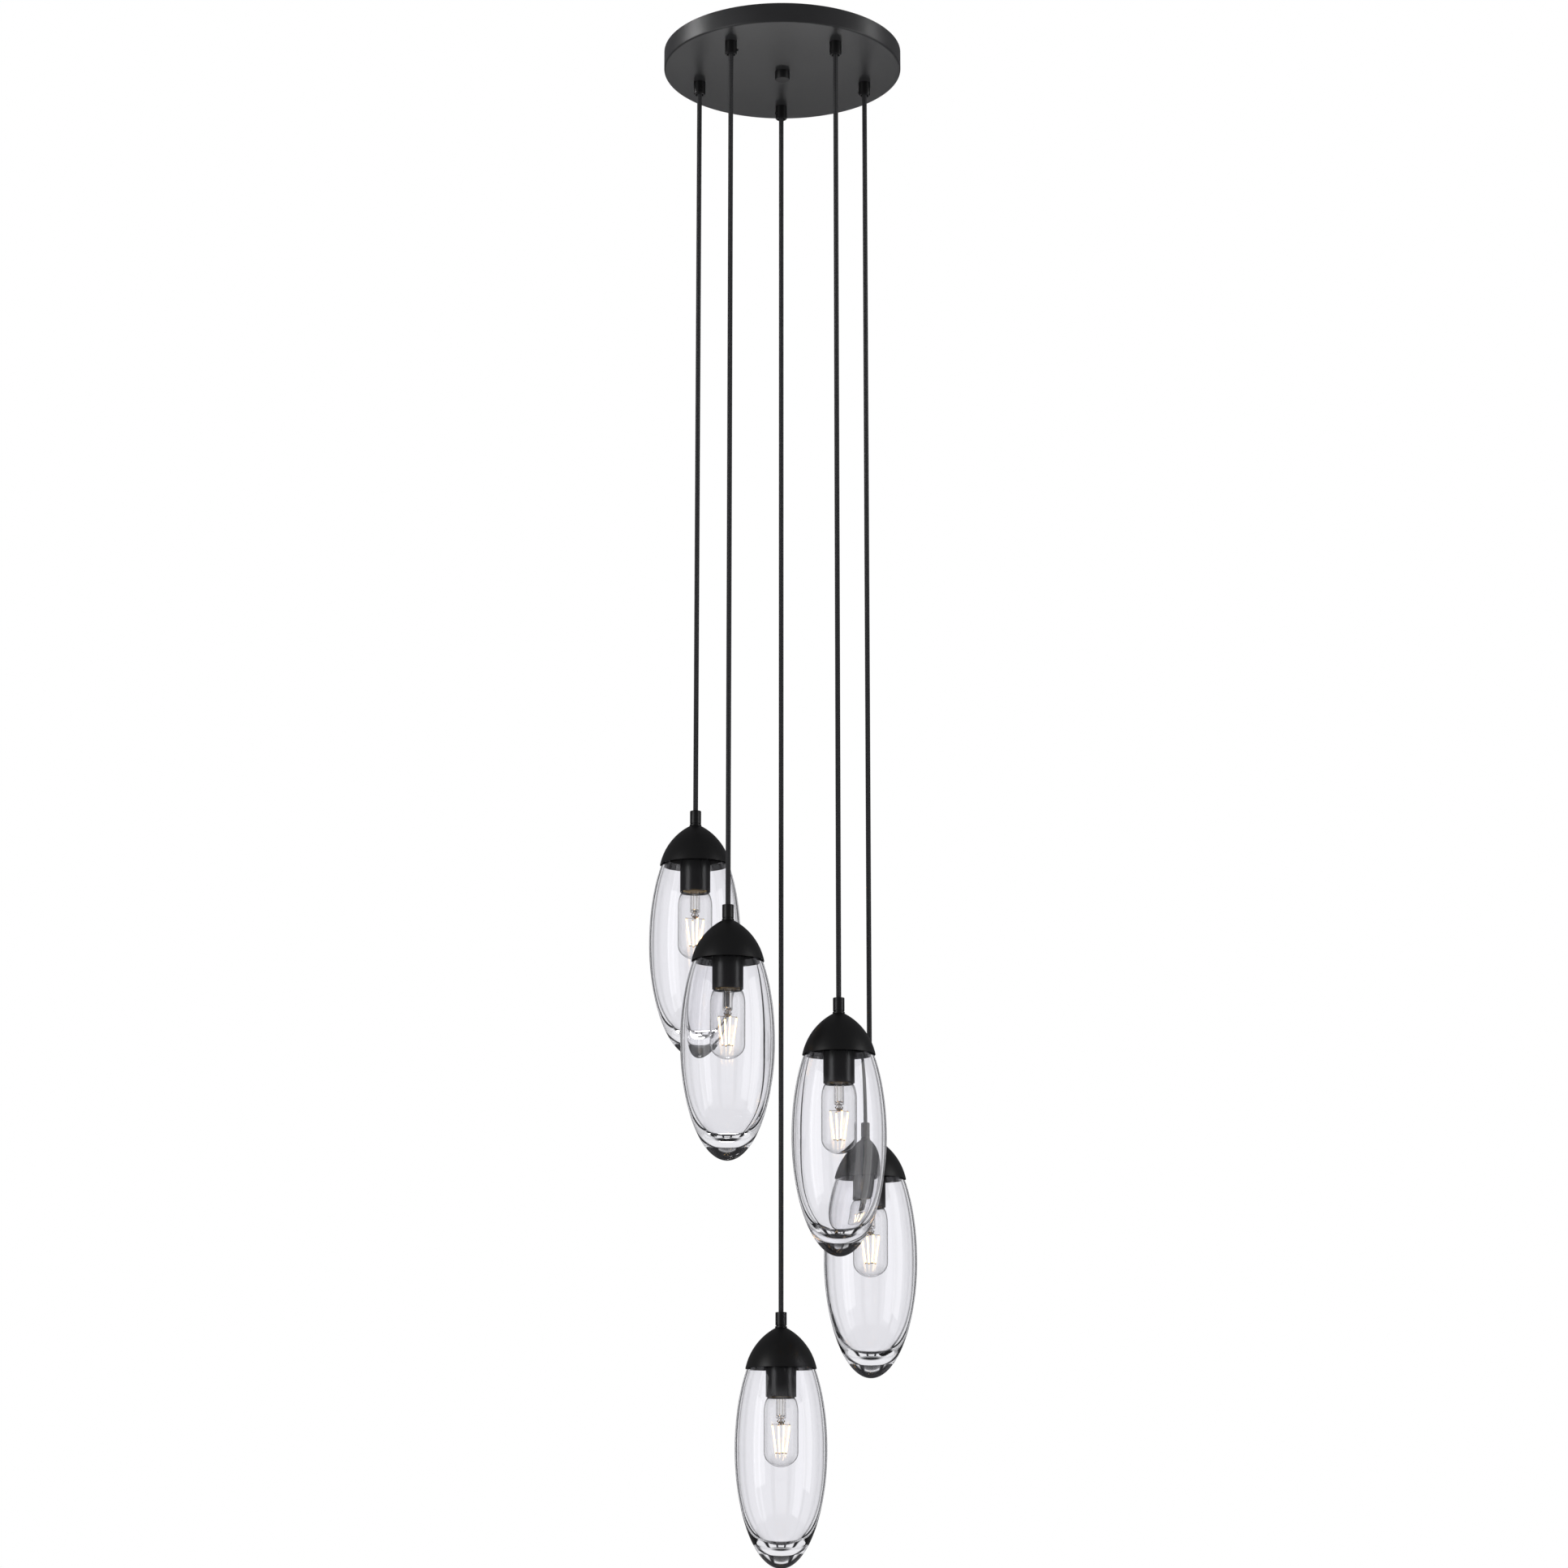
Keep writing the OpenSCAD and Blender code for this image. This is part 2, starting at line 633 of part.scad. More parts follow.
// Insulating lampholder with the screw bore and its centre contact
module lampholder(k) {
  play = 0.15;
  r = cup_d / 2 - cup_t - play;
  top_z = cup_rise - cup_t;
  waist_inset = 5;
  waist_z = base_top_z + 10;
  bore_r = holder_bore_d / 2;
  bore_top_z = base_top_z + contact_h + thread_runout;
  color("#c9a24a") at_pendant(k) difference() {
    union() {
      translate([0, 0, holder_low_z]) cylinder(h = waist_z - holder_low_z, r = r);
      translate([0, 0, waist_z - over]) cylinder(h = top_z - waist_z + over, r = r - waist_inset);
    }
    translate([0, 0, holder_low_z - over])
      cylinder(h = bore_top_z - holder_low_z + over, r = bore_r);
    translate([0, 0, bore_top_z - over])
      cylinder(h = top_z - bore_top_z + 2 * over, r = cup_stem_bore / 4);
  }
}

// Blown glass egg: thin at the neck, thick and solid at the tip
module shade(k) {
  lip = 0.8;
  out_r = ellipse_r(shade_neck, shade_d / 2, egg_c, egg_z);
  // Angles round each ellipse, from the widest ring up to the mouth
  out_end = asin((shade_neck - lip - egg_z) / egg_c);
  in_end = asin((shade_neck - lip - egg_z) / hollow_up);
  color("#dfe0e6", 0.35) at_pendant(k) rotate_extrude($fn = 144) polygon(concat(
    [[0, -shade_drop]],
    [for (i = [1 : egg_steps])
      let (a = -90 + (out_end + 90) * i / egg_steps)
      [shade_d / 2 * cos(a), egg_z + egg_c * sin(a)]],
    [[out_r - lip, shade_neck], [mouth_r + lip, shade_neck]],
    [for (i = [neck_steps : -1 : 1])
      let (a = in_end * i / neck_steps)
      [hollow_a * cos(a), egg_z + hollow_up * sin(a)]],
    [for (i = [0 : bowl_steps - 1]) bowl_point(90 * i / bowl_steps)],
    [[0, -shade_drop + shade_floor]]
  ));
}

// Ring bonded over the shade's mouth, with three slotted tabs that turn
// onto the cap's pegs
module shade_ring(k) {
  tab_top_z = ring_top_z + tab_h;
  slot_low_z = peg_rise - peg_d / 2 - slide_gap;
  color("#8d9094") at_pendant(k) difference() {
    rotate_extrude() polygon([
      [ring_in_r, shade_neck - ring_skirt], [ring_out_r, shade_neck - ring_skirt],
      [ring_out_r, shade_neck], [ring_flange_r, shade_neck], [ring_flange_r, ring_top_z],
      [ring_out_r, ring_top_z], [ring_out_r, tab_top_z], [ring_in_r, tab_top_z]
    ]);
    for (a = [0 : 120 : 240]) rotate([0, 0, a]) {
      rotate([0, 0, tab_angle / 2]) rotate_extrude(angle = 120 - tab_angle)
        translate([ring_in_r - over, ring_top_z]) square([ring_t + 2 * over, tab_h + over]);
      translate([ring_in_r - over, -tab_slot_w / 2, slot_low_z])
        cube([ring_t + 2 * over, tab_slot_w, tab_h + over]);
      translate([ring_in_r - over, 0, slot_low_z])
        cube([ring_t + 2 * over, tab_slot_w / 2 + tab_leg, peg_d + 2 * slide_gap]);
    }
  }
}

// Screw base of the lamp with its collar and centre contact
module lamp_base(k) {
  r = base_d / 2;
  collar_r = lamp_neck_d / 2 - edge_break;
  taper_h = 3;
  crown_r = r * 0.62;
  contact_r = r * 0.34;
  color("#c9a24a") at_pendant(k) rotate_extrude() polygon([
    [0, base_low_z], [collar_r, base_low_z], [collar_r, base_low_z + base_collar_h / 2],
    [r, base_low_z + base_collar_h], [r, base_top_z - taper_h], [crown_r, base_top_z],
    [contact_r, base_top_z], [contact_r, base_top_z + contact_h], [0, base_top_z + contact_h]
  ]);
}

// Outline of the lamp's glass, so far in from the outside: a round end, a
// straight tube and a round shoulder up to the neck
function lamp_outline(inset) =
  let (
    r = lamp_d / 2 - inset, neck = lamp_neck_d / 2 - inset, low_z = -lamp_drop + inset,
    bend_z = base_low_z - lamp_collar_h - lamp_shoulder_h
  )
  concat(
    [[0, low_z]],
    [for (a = [-80 : 10 : 0])
      [r * cos(a), low_z + (lamp_end_h - inset) * (1 + sin(a))]],
    [for (a = [0 : 10 : 90])
      [neck + (r - neck) * cos(a), bend_z + (lamp_shoulder_h - inset) * sin(a)]],
    [[neck, base_low_z]]
  );

// Clear tubular lamp glass with a round end, open only at the neck
module lamp_glass(k) {
  inner = lamp_outline(lamp_t);
  color("#eef0f2", 0.25) at_pendant(k) rotate_extrude() polygon(concat(
    lamp_outline(0), [for (i = [len(inner) - 1 : -1 : 0]) inner[i]]
  ));
}

// Glass stem, a bead and the centre wire under it, and four leaning filament
// rods on level arms
module lamp_filament(k) {
  stem_r = glass_stem_d / 2;
  wire_r = 0.5;
  // Distance of each wire's joint from the end of its filament
  weld = 0.6;
  tip_z = glass_stem_low_z + over;
  // Round end of the stem, and the bead halfway from there to the arms
  tip_r = stem_r * 0.7;
  tip_h = stem_r * 0.6;
  bead_r = stem_r * 0.55;
  bead_h = filament_gap * 0.6;
  color("#ffc65a") at_pendant(k) union() {
    translate([0, 0, glass_stem_low_z]) rotate_extrude($fn = 48) polygon(concat(
      [[0, 0]],
      [for (a = [-90 : 30 : 0])
        [tip_r + (stem_r - tip_r) * cos(a), tip_h * (1 + sin(a))]],
      [[stem_r, glass_stem_h], [0, glass_stem_h]]
    ));
    translate([0, 0, (glass_stem_low_z + filament_top_z) / 2])
      rotate_extrude($fn = 24) polygon(
        [for (a = [-90 : 30 : 90]) [bead_r * cos(a), bead_h / 2 * sin(a)]]
      );
    rod([0, 0, filament_low_z], [0, 0, tip_z], wire_r);
    for (a = [0 : 90 : 270]) rotate([0, 0, filament_turn - pendant_angles[k] + a]) {
      top = [filament_top_spread / 2, 0, filament_top_z];
      low = [filament_low_spread / 2, 0, filament_low_z];
      rod(low, top, filament_d / 2);
      rod([0, 0, filament_top_z - weld], top - [0, 0, weld], wire_r);
      rod([0, 0, filament_low_z + weld], low + [0, 0, weld], wire_r);
    }
  }
}

canopy();
mounting_bar();
centre_stud();
stud_nut();
centre_nut();
cord_grips();
grip_nuts();
grip_screws();
terminal_block();
canopy_leads();
for (k = pendants) {
  n = str(k + 1);
  cord(k);
  coupler(k);
  cap(k);
  socket_cup(k);
  lampholder(k);
  shade(k);
  shade_ring(k);
  lamp_base(k);
  lamp_glass(k);
  lamp_filament(k);
}
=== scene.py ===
"""Five-light cluster pendant in the photographer's studio.

After the camera the lamp is dressed from the ceiling down: cords, canopy and its fixing,
cord grips, couplers, caps, sockets, lamps, glass shades, and last the room and its lights.
"""
import math

import bpy
from mathutils import Matrix, Vector


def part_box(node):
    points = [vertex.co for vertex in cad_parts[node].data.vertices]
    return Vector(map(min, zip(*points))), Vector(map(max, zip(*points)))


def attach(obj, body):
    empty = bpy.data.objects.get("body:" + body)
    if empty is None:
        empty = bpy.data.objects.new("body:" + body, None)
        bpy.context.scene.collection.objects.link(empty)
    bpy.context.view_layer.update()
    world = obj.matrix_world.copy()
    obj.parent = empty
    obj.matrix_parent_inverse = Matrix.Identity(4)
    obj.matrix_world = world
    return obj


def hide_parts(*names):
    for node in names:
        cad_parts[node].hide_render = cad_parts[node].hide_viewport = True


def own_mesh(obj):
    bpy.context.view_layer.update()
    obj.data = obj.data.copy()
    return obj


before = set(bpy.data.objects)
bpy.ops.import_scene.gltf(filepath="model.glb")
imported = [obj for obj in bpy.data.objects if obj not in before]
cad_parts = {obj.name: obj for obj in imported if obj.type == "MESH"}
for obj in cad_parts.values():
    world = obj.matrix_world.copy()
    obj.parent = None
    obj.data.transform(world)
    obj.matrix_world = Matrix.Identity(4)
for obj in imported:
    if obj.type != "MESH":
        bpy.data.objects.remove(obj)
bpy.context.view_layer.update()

# Camera. It stands nearly five metres in front of the lamp, a little lower than the lowest
# cap, and looks up towards the canopy, so that the canopy's underside opens into an ellipse.
FRAME_PIXELS = 1932
FOCAL_PIXELS = 4516
AXIS_PIXEL = 963.8
CAMERA_DISTANCE = 4.697
CAMERA_HEIGHT = -2.107
CAMERA_TILT = math.radians(12.89)
CAMERA_TURN = math.radians(-0.72)

lens_data = bpy.data.cameras.new("studio_camera")
lens_data.sensor_width = 36.0
lens_data.lens = lens_data.sensor_width * FOCAL_PIXELS / FRAME_PIXELS
camera = bpy.data.objects.new("studio_camera", lens_data)
bpy.context.collection.objects.link(camera)
off_axis = math.atan((FRAME_PIXELS / 2 - AXIS_PIXEL) / FOCAL_PIXELS)
camera.location = Matrix.Rotation(CAMERA_TURN, 3, "Z") @ Vector((0, -CAMERA_DISTANCE, CAMERA_HEIGHT))
camera.rotation_euler = (math.pi / 2 + CAMERA_TILT, 0, CAMERA_TURN - off_axis)
bpy.context.scene.camera = camera

# Cords. Round flex in a sleeve of black polyester yarn, plaited on a braiding machine. Each
# hangs dead straight from the flared mouth of its grip into the coupler on its cap.
PENDANTS = (1, 2, 3, 4, 5)
CORD_RADIUS = 0.00325
CORD_SIDES = 32
CORD_RING_STEP = 0.01
SHARP_EDGE = math.radians(32)
YARNS_EACH_WAY = 5
YARN_ROW = 0.0017
YARN_RELIEF = 0.0003
# The yarn is one black all over: the darker colour below is painted shade in the gaps between yarns, and the
# paler one a painted sheen on the raised crossings.
YARN_GAP_SHADE = (0.007, 0.007, 0.008, 1)
YARN_RAISED_SHEEN = (0.08, 0.081, 0.086, 1)


class Wire:
    """A value on its way through a material. Sums on wires add the Math nodes for them."""

    def __init__(self, paint, socket):
        self.paint = paint
        self.socket = socket

    def math(self, operation, *values):
        sockets = dict(enumerate(values))
        return self.paint.node("ShaderNodeMath", {"operation": operation}, sockets)["Value"]

    def __add__(self, other):
        return self.math("ADD", self, other)

    def __radd__(self, other):
        return self.math("ADD", other, self)

    def __sub__(self, other):
        return self.math("SUBTRACT", self, other)

    def __rsub__(self, other):
        return self.math("SUBTRACT", other, self)

    def __mul__(self, other):
        return self.math("MULTIPLY", self, other)

    def __rmul__(self, other):
        return self.math("MULTIPLY", other, self)

    def sine(self):
        return self.math("SINE", self)

    def cosine(self):
        return self.math("COSINE", self)

    def size(self):
        return self.math("ABSOLUTE", self)

    def larger(self, other):
        return self.math("MAXIMUM", self, other)

    def above(self, level):
        return self.math("GREATER_THAN", self, level)

    def bearing(self, across):
        """The angle of a point that lies self up and across to the right."""
        return self.math("ARCTAN2", self, across)

    def step_up(self, low, high):
        """From 0 at low to 1 at high, with soft ends."""
        made = self.paint.node(
            "ShaderNodeMapRange",
            {"interpolation_type": "SMOOTHSTEP"},
            {"Value": self, "From Min": low, "From Max": high},
        )
        return made["Result"]


class Paint:
    """The node tree of one finish, or of the room's light."""

    def __init__(self, data):
        self.data = data
        data.use_nodes = True
        self.tree = data.node_tree
        self.tree.nodes.clear()

    def feed(self, socket, value):
        """Links a wire to a socket, or sets the socket to a plain value."""
        if isinstance(value, Wire):
            self.tree.links.new(value.socket, socket)
        else:
            socket.default_value = value

    def node(self, kind, settings=None, sockets=None):
        """A node with its settings first, then its sockets' values or links. Returns its outputs."""
        made = self.tree.nodes.new(kind)
        for key, value in (settings or {}).items():
            setattr(made, key, value)
        for key, value in (sockets or {}).items():
            self.feed(made.inputs[key], value)
        return {out.name: Wire(self, out) for out in made.outputs}

    def mix(self, share, low, high):
        """A colour between low, at share 0, and high, at share 1."""
        made = self.tree.nodes.new("ShaderNodeMix")
        made.data_type = "RGBA"
        inputs = [s for s in made.inputs if s.type == "RGBA"]
        for socket, value in zip([made.inputs[0], *inputs], (share, low, high)):
            self.feed(socket, value)
        return Wire(self, next(s for s in made.outputs if s.type == "RGBA"))

    def bump(self, height, distance):
        return self.node("ShaderNodeBump", {}, {"Height": height, "Distance": distance})["Normal"]

    def place(self):
        """Where a point lies, in metres, as one vector."""
        return self.node("ShaderNodeTexCoord")["Object"]

    def split(self, vector):
        parts = self.node("ShaderNodeSeparateXYZ", {}, {"Vector": vector})
        return parts["X"], parts["Y"], parts["Z"]

    def surface(self, **sockets):
        named = {key.replace("_", " "): value for key, value in sockets.items()}
        return self.node("ShaderNodeBsdfPrincipled", {}, named)["BSDF"]

    def blend(self, share, low, high):
        """A shader between low, at share 0, and high, at share 1."""
        return self.node("ShaderNodeMixShader", {}, {0: share, 1: low, 2: high})["Shader"]

    def cover(self, shader):
        """Ends the tree in shader, and gives back the material or the world."""
        for_world = isinstance(self.data, bpy.types.World)
        kind = "ShaderNodeOutputWorld" if for_world else "ShaderNodeOutputMaterial"
        self.node(kind, {}, {"Surface": shader})
        return self.data


def new_paint(name):
    return Paint(bpy.data.materials.new(name))


def yarn_sleeve(name, middle):
    """Plaited yarn round a vertical line through middle. Its crossings stand in upright columns. The colour
    follows the plait's relief: painted shade in the gaps and a painted sheen on the raised crossings, with
    the fray varying the tone at random.
    """
    paint = new_paint(name)
    spot = paint.place()
    x, y, z = paint.split(spot)
    rise = z * (math.pi / YARN_ROW)
    around = (y - middle.y).bearing(x - middle.x) * YARNS_EACH_WAY + math.pi / 2
    plait = (around + rise).sine() * (around - rise).sine()
    over = (plait * 0.5 + around.sine().size() * 0.5 + 0.1).step_up(0.05, 1.0)
    fray = paint.node("ShaderNodeTexNoise", {}, {"Vector": spot, "Scale": 900.0, "Detail": 2.0})["Fac"]
    # Painted shade and sheen: dark where a yarn dips under, pale where it crosses over, plus random fray.
    shade = (over * 0.8 + fray * 0.35).step_up(0.1, 0.95)
    colour = paint.mix(shade, YARN_GAP_SHADE, YARN_RAISED_SHEEN)
    return paint.cover(paint.surface(
        Base_Color=colour, Roughness=0.68, Sheen_Weight=0.12, Sheen_Roughness=0.4,
        Normal=paint.bump(over + fray * 0.15, YARN_RELIEF),
    ))


def mesh_piece(name, points, faces, *finishes):
    """A new mesh object, smooth where its faces meet at a low angle."""
    mesh = bpy.data.meshes.new(name)
    mesh.from_pydata(points, [], faces)
    mesh.validate()
    mesh.polygons.foreach_set("use_smooth", [True] * len(mesh.polygons))
    mesh.set_sharp_from_angle(angle=SHARP_EDGE)
    for finish in finishes:
        mesh.materials.append(finish)
    made = bpy.data.objects.new(name, mesh)
    bpy.context.collection.objects.link(made)
    return made


def tube(path, radius, sides):
    """Points and faces of a round tube along a path, closed at both ends."""
    points, faces = [], []
    side = Vector((1, 0, 0))
    for i, here in enumerate(path):
        before, after = path[max(i - 1, 0)], path[min(i + 1, len(path) - 1)]
        way = (after - before).normalized()
        side = side - side.dot(way) * way
        if side.length < 0.1:
            side = way.orthogonal()
        side.normalize()
        up = way.cross(side)
        for j in range(sides):
            a = math.tau * j / sides
            points.append(here + radius * (math.cos(a) * side + math.sin(a) * up))
    for i in range(len(path) - 1):
        for j in range(sides):
            a, b = i * sides + j, i * sides + (j + 1) % sides
            faces.append((a, b, b + sides, a + sides))
    last = (len(path) - 1) * sides
    faces.append(tuple(range(sides - 1, -1, -1)))
    faces.append(tuple(range(last, last + sides)))
    return points, faces


for k in PENDANTS:
    low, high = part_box(f"cord_{k}")
    middle = (low + high) / 2
    length = high.z - low.z
    steps = round(length / CORD_RING_STEP)
    path = [Vector((middle.x, middle.y, high.z - length * i / steps)) for i in range(steps + 1)]
    sleeve = yarn_sleeve(f"yarn_sleeve_{k}", middle)
    cord = mesh_piece(f"woven_cord_{k}", *tube(path, CORD_RADIUS, CORD_SIDES), sleeve)
    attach(cord, f"cord_line_{k}")
    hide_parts(f"cord_{k}")
    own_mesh(cord)

# Canopy. A shallow pan spun from steel sheet with a soft lower edge, powder coated in satin
# black. The round nut and the five cord grips stand on its flat underside.
CANOPY_SHEET = 0.0012
CANOPY_EDGE = 0.0024
# The pan has the same satin black powder as the caps; its paler black here is painted light on the pan.
CANOPY_BLACK_PAINTED_LIGHT = (0.04, 0.04, 0.042, 1)
CANOPY_ROUGHNESS = 0.38
BROKEN_EDGE = 0.0003
STUD_HOLE = 0.00495
SPIN_STEPS = 192
SMALL_STEPS = 96
ON_AXIS = 1e-7
PEEL_GRAIN = 0.00002
PEEL_SCALE = 1400.0
DRIFT_SCALE = 18.0


def arc(centre, radius, start, end, steps):
    """Points of a round stretch of an outline, as (radius from the axis, height)."""
    turns = [math.radians(start + (end - start) * i / steps) for i in range(steps + 1)]
    return [(centre[0] + radius * math.cos(a), centre[1] + radius * math.sin(a)) for a in turns]


def raised(point, height):
    return point + Vector((0, 0, height))


def spun(outline, middle, steps=SPIN_STEPS):
    """Points and faces of an outline spun round the vertical line through middle.
    A closed outline starts and ends on the axis or repeats its first point."""
    points, faces, rings = [], [], []
    for r, z in outline:
        if r < ON_AXIS:
            rings.append([len(points)] * steps)
            points.append(raised(middle, z))
            continue
        rings.append(list(range(len(points), len(points) + steps)))
        for j in range(steps):
            a = math.tau * j / steps
            points.append(middle + Vector((r * math.cos(a), r * math.sin(a), z)))
    for low, high in zip(rings, rings[1:]):
        for j in range(steps):
            n = (j + 1) % steps
            corners = list(dict.fromkeys((low[j], low[n], high[n], high[j])))
            if len(corners) > 2:
                faces.append(tuple(corners))
    return points, faces


def spun_piece(name, outline, middle, *finishes, steps=SPIN_STEPS):
    """A lathe-turned or spun piece. A ring of metal or glass repeats its first outline point."""
    points, faces = spun(outline, middle, steps)
    if outline[0] == outline[-1] and outline[0][0] > ON_AXIS:
        count = len(points) - steps
        faces = [tuple(i if i < count else i - count for i in f) for f in faces]
        points = points[:count]
    return mesh_piece(name, points, faces, *finishes)


def tinted(colour, share):
    """A colour made paler, with a share over 1, or darker."""
    return tuple(share * c for c in colour[:3]) + (1,)


def powder_coat(name, colour, roughness, grain=PEEL_GRAIN):
    """Baked powder: a very fine orange-peel skin with a faint drift in its gloss."""
    paint = new_paint(name)
    spot = paint.place()
    peel = paint.node("ShaderNodeTexNoise", {}, {"Vector": spot, "Scale": PEEL_SCALE, "Detail": 3.0})["Fac"]
    drift = paint.node("ShaderNodeTexNoise", {}, {"Vector": spot, "Scale": DRIFT_SCALE, "Detail": 2.0})["Fac"]
    shade = (peel * 0.6 + drift * 0.5).step_up(0.2, 0.9)
    return paint.cover(paint.surface(
        Base_Color=paint.mix(shade, tinted(colour, 0.86), tinted(colour, 1.18)),
        Roughness=drift * 0.06 + peel * 0.05 + (roughness - 0.055),
        Normal=paint.bump(peel, grain),
    ))


canopy_low, canopy_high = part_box("canopy")
canopy_radius = (canopy_high.x - canopy_low.x) / 2
canopy_face = canopy_low.z
AXIS = Vector((0, 0, 0))
edge = (canopy_radius - CANOPY_EDGE, canopy_face + CANOPY_EDGE)
pan_outline = (
    [(canopy_radius - CANOPY_SHEET, 0.0)]
    + [(canopy_radius - BROKEN_EDGE, 0.0), (canopy_radius, -BROKEN_EDGE)]
    + arc(edge, CANOPY_EDGE, 0, -90, 10)
    + [(STUD_HOLE, canopy_face), (STUD_HOLE, canopy_face + CANOPY_SHEET)]
    + arc(edge, CANOPY_EDGE - CANOPY_SHEET, -90, 0, 8)
)
canopy_powder = powder_coat("canopy_powder", CANOPY_BLACK_PAINTED_LIGHT, CANOPY_ROUGHNESS)
pan = spun_piece("canopy_pan", pan_outline + pan_outline[:1], AXIS, canopy_powder)
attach(pan, "canopy_unit")
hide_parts("canopy")

# Ceiling fixing. A zinc-plated crossbar screws to the ceiling box. A threaded tube and its
# lock nut hang from the bar, and carry the canopy on the round nut below.
ZINC = (0.42, 0.43, 0.45, 1)
BRUSHED_ALONG = (60.0, 1400.0, 1400.0)


def dress(node, finish):
    """Gives a piece that keeps its modelled shape its real finish."""
    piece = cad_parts[node]
    piece.data.materials.clear()
    piece.data.materials.append(finish)


def plated_steel(name):
    paint = new_paint(name)
    spot = paint.place()
    drawn = paint.node("ShaderNodeMapping", {}, {"Vector": spot, "Scale": BRUSHED_ALONG})["Vector"]
    lines = paint.node("ShaderNodeTexNoise", {}, {"Vector": drawn, "Scale": 1.0, "Detail": 3.0})["Fac"]
    bloom = paint.node("ShaderNodeTexNoise", {}, {"Vector": spot, "Scale": 70.0, "Detail": 4.0})["Fac"]
    return paint.cover(paint.surface(
        Base_Color=paint.mix(bloom.step_up(0.3, 0.7), tinted(ZINC, 0.8), ZINC),
        Metallic=1.0, Roughness=lines * 0.2 + 0.26, Normal=paint.bump(lines, 0.00003),
    ))


zinc_plate = plated_steel("zinc_plate")
for node in ("mounting_bar", "centre_stud", "stud_nut", "grip_nuts"):
    dress(node, zinc_plate)

# Round nut. Turned from bar with a fine bevel on its face, and finished in satin black. It
# screws on the stud and clamps the canopy to the ceiling.
NUT_BLACK = (0.011, 0.011, 0.0115, 1)
NUT_ROUGHNESS = 0.38
NUT_GRAIN = 0.000004
NUT_RADIUS = 0.010
NUT_BEVEL = 0.0006
STUD_BITE = 0.009

nut_low, nut_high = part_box("centre_nut")
bite_top = nut_high.z - STUD_BITE
nut_outline = [
    (0.0, nut_low.z), (NUT_RADIUS - NUT_BEVEL * 1.3, nut_low.z), (NUT_RADIUS - NUT_BEVEL, nut_low.z),
    (NUT_RADIUS - NUT_BEVEL * 0.3, nut_low.z + NUT_BEVEL * 0.3), (NUT_RADIUS, nut_low.z + NUT_BEVEL),
    (NUT_RADIUS, nut_high.z - BROKEN_EDGE), (NUT_RADIUS - BROKEN_EDGE, nut_high.z),
    (STUD_HOLE, nut_high.z), (STUD_HOLE, bite_top), (0.0, bite_top),
]
nut_black = powder_coat("nut_black", NUT_BLACK, NUT_ROUGHNESS, NUT_GRAIN)
round_nut = spun_piece("round_nut", nut_outline, AXIS, nut_black, steps=SMALL_STEPS)
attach(round_nut, "canopy_unit")
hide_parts("centre_nut")

# Cord grips. Turned cylinders with a bevelled lower rim and a flared mouth. Each is held by
# a nut inside the canopy, and a set screw in its side pinches the cord.
TURNED_BLACK = (0.009, 0.009, 0.0095, 1)
TURNED_ROUGHNESS = 0.36
TURNED_GRAIN = 0.000002

turned_black = powder_coat("turned_black", TURNED_BLACK, TURNED_ROUGHNESS, TURNED_GRAIN)
for node in ("cord_grips", "grip_screws"):
    dress(node, turned_black)

# Wiring in the canopy. The cords run over the pan to a white moulded terminal block that
# stands on the sheet behind the stud.
BLOCK_WHITE = (0.72, 0.71, 0.66, 1)
BLOCK_ROUGHNESS = 0.5
LEAD_BLACK = (0.03, 0.03, 0.032, 1)
LEAD_ROUGHNESS = 0.75


def moulding(name, colour, roughness):
    """A moulded skin: a fine grain, and a faint cloud in its colour."""
    paint = new_paint(name)
    spot = paint.place()
    grain = paint.node("ShaderNodeTexNoise", {}, {"Vector": spot, "Scale": 2200.0, "Detail": 2.0})["Fac"]
    cloud = paint.node("ShaderNodeTexNoise", {}, {"Vector": spot, "Scale": 120.0, "Detail": 3.0})["Fac"]
    return paint.cover(paint.surface(
        Base_Color=paint.mix(cloud, tinted(colour, 0.85), colour),
        Roughness=grain * 0.1 + (roughness - 0.05), Normal=paint.bump(grain, 0.00002),
    ))


dress("terminal_block", moulding("block_moulding", BLOCK_WHITE, BLOCK_ROUGHNESS))
dress("canopy_leads", moulding("lead_sleeve", LEAD_BLACK, LEAD_ROUGHNESS))

# Couplers. Small turned posts on top of the caps: a base ring, a groove, and a plain
# cylinder that the cord goes into. The cup's threaded stem screws into them from below.
COUPLER_STEPS = 64
COUPLER_RADIUS = 0.0074
COUPLER_HEIGHT = 0.0205
COUPLER_RING = 0.0078
RING_HEIGHT = 0.0024
GROOVE_WIDTH = 0.001
GROOVE_RADIUS = 0.0065
COUPLER_ROUND = 0.0006
GROOVE_ROUND = 0.0004
CORD_HOLE = 0.00345
CORD_SEAT = 0.0081


def rim_middle(k):
    """Middle of pendant k's cap rim. The heights of the pieces below are measured from it."""
    low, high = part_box(f"cap_{k}")
    return Vector(((low.x + high.x) / 2, (low.y + high.y) / 2, low.z))


cap_low, cap_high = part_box("cap_1")
cap_height = cap_high.z - cap_low.z
groove_top = RING_HEIGHT + GROOVE_WIDTH
seat = COUPLER_HEIGHT - CORD_SEAT


def corner(radius, height, size, start, steps=4):
    """The rounding, of size, of an outline's corner that lies at radius and height. It starts
    at -90 degrees on a lower corner and at 0 on an upper one."""
    up = size if start < 0 else -size
    return arc((radius - size, height + up), size, start, start + 90, steps)


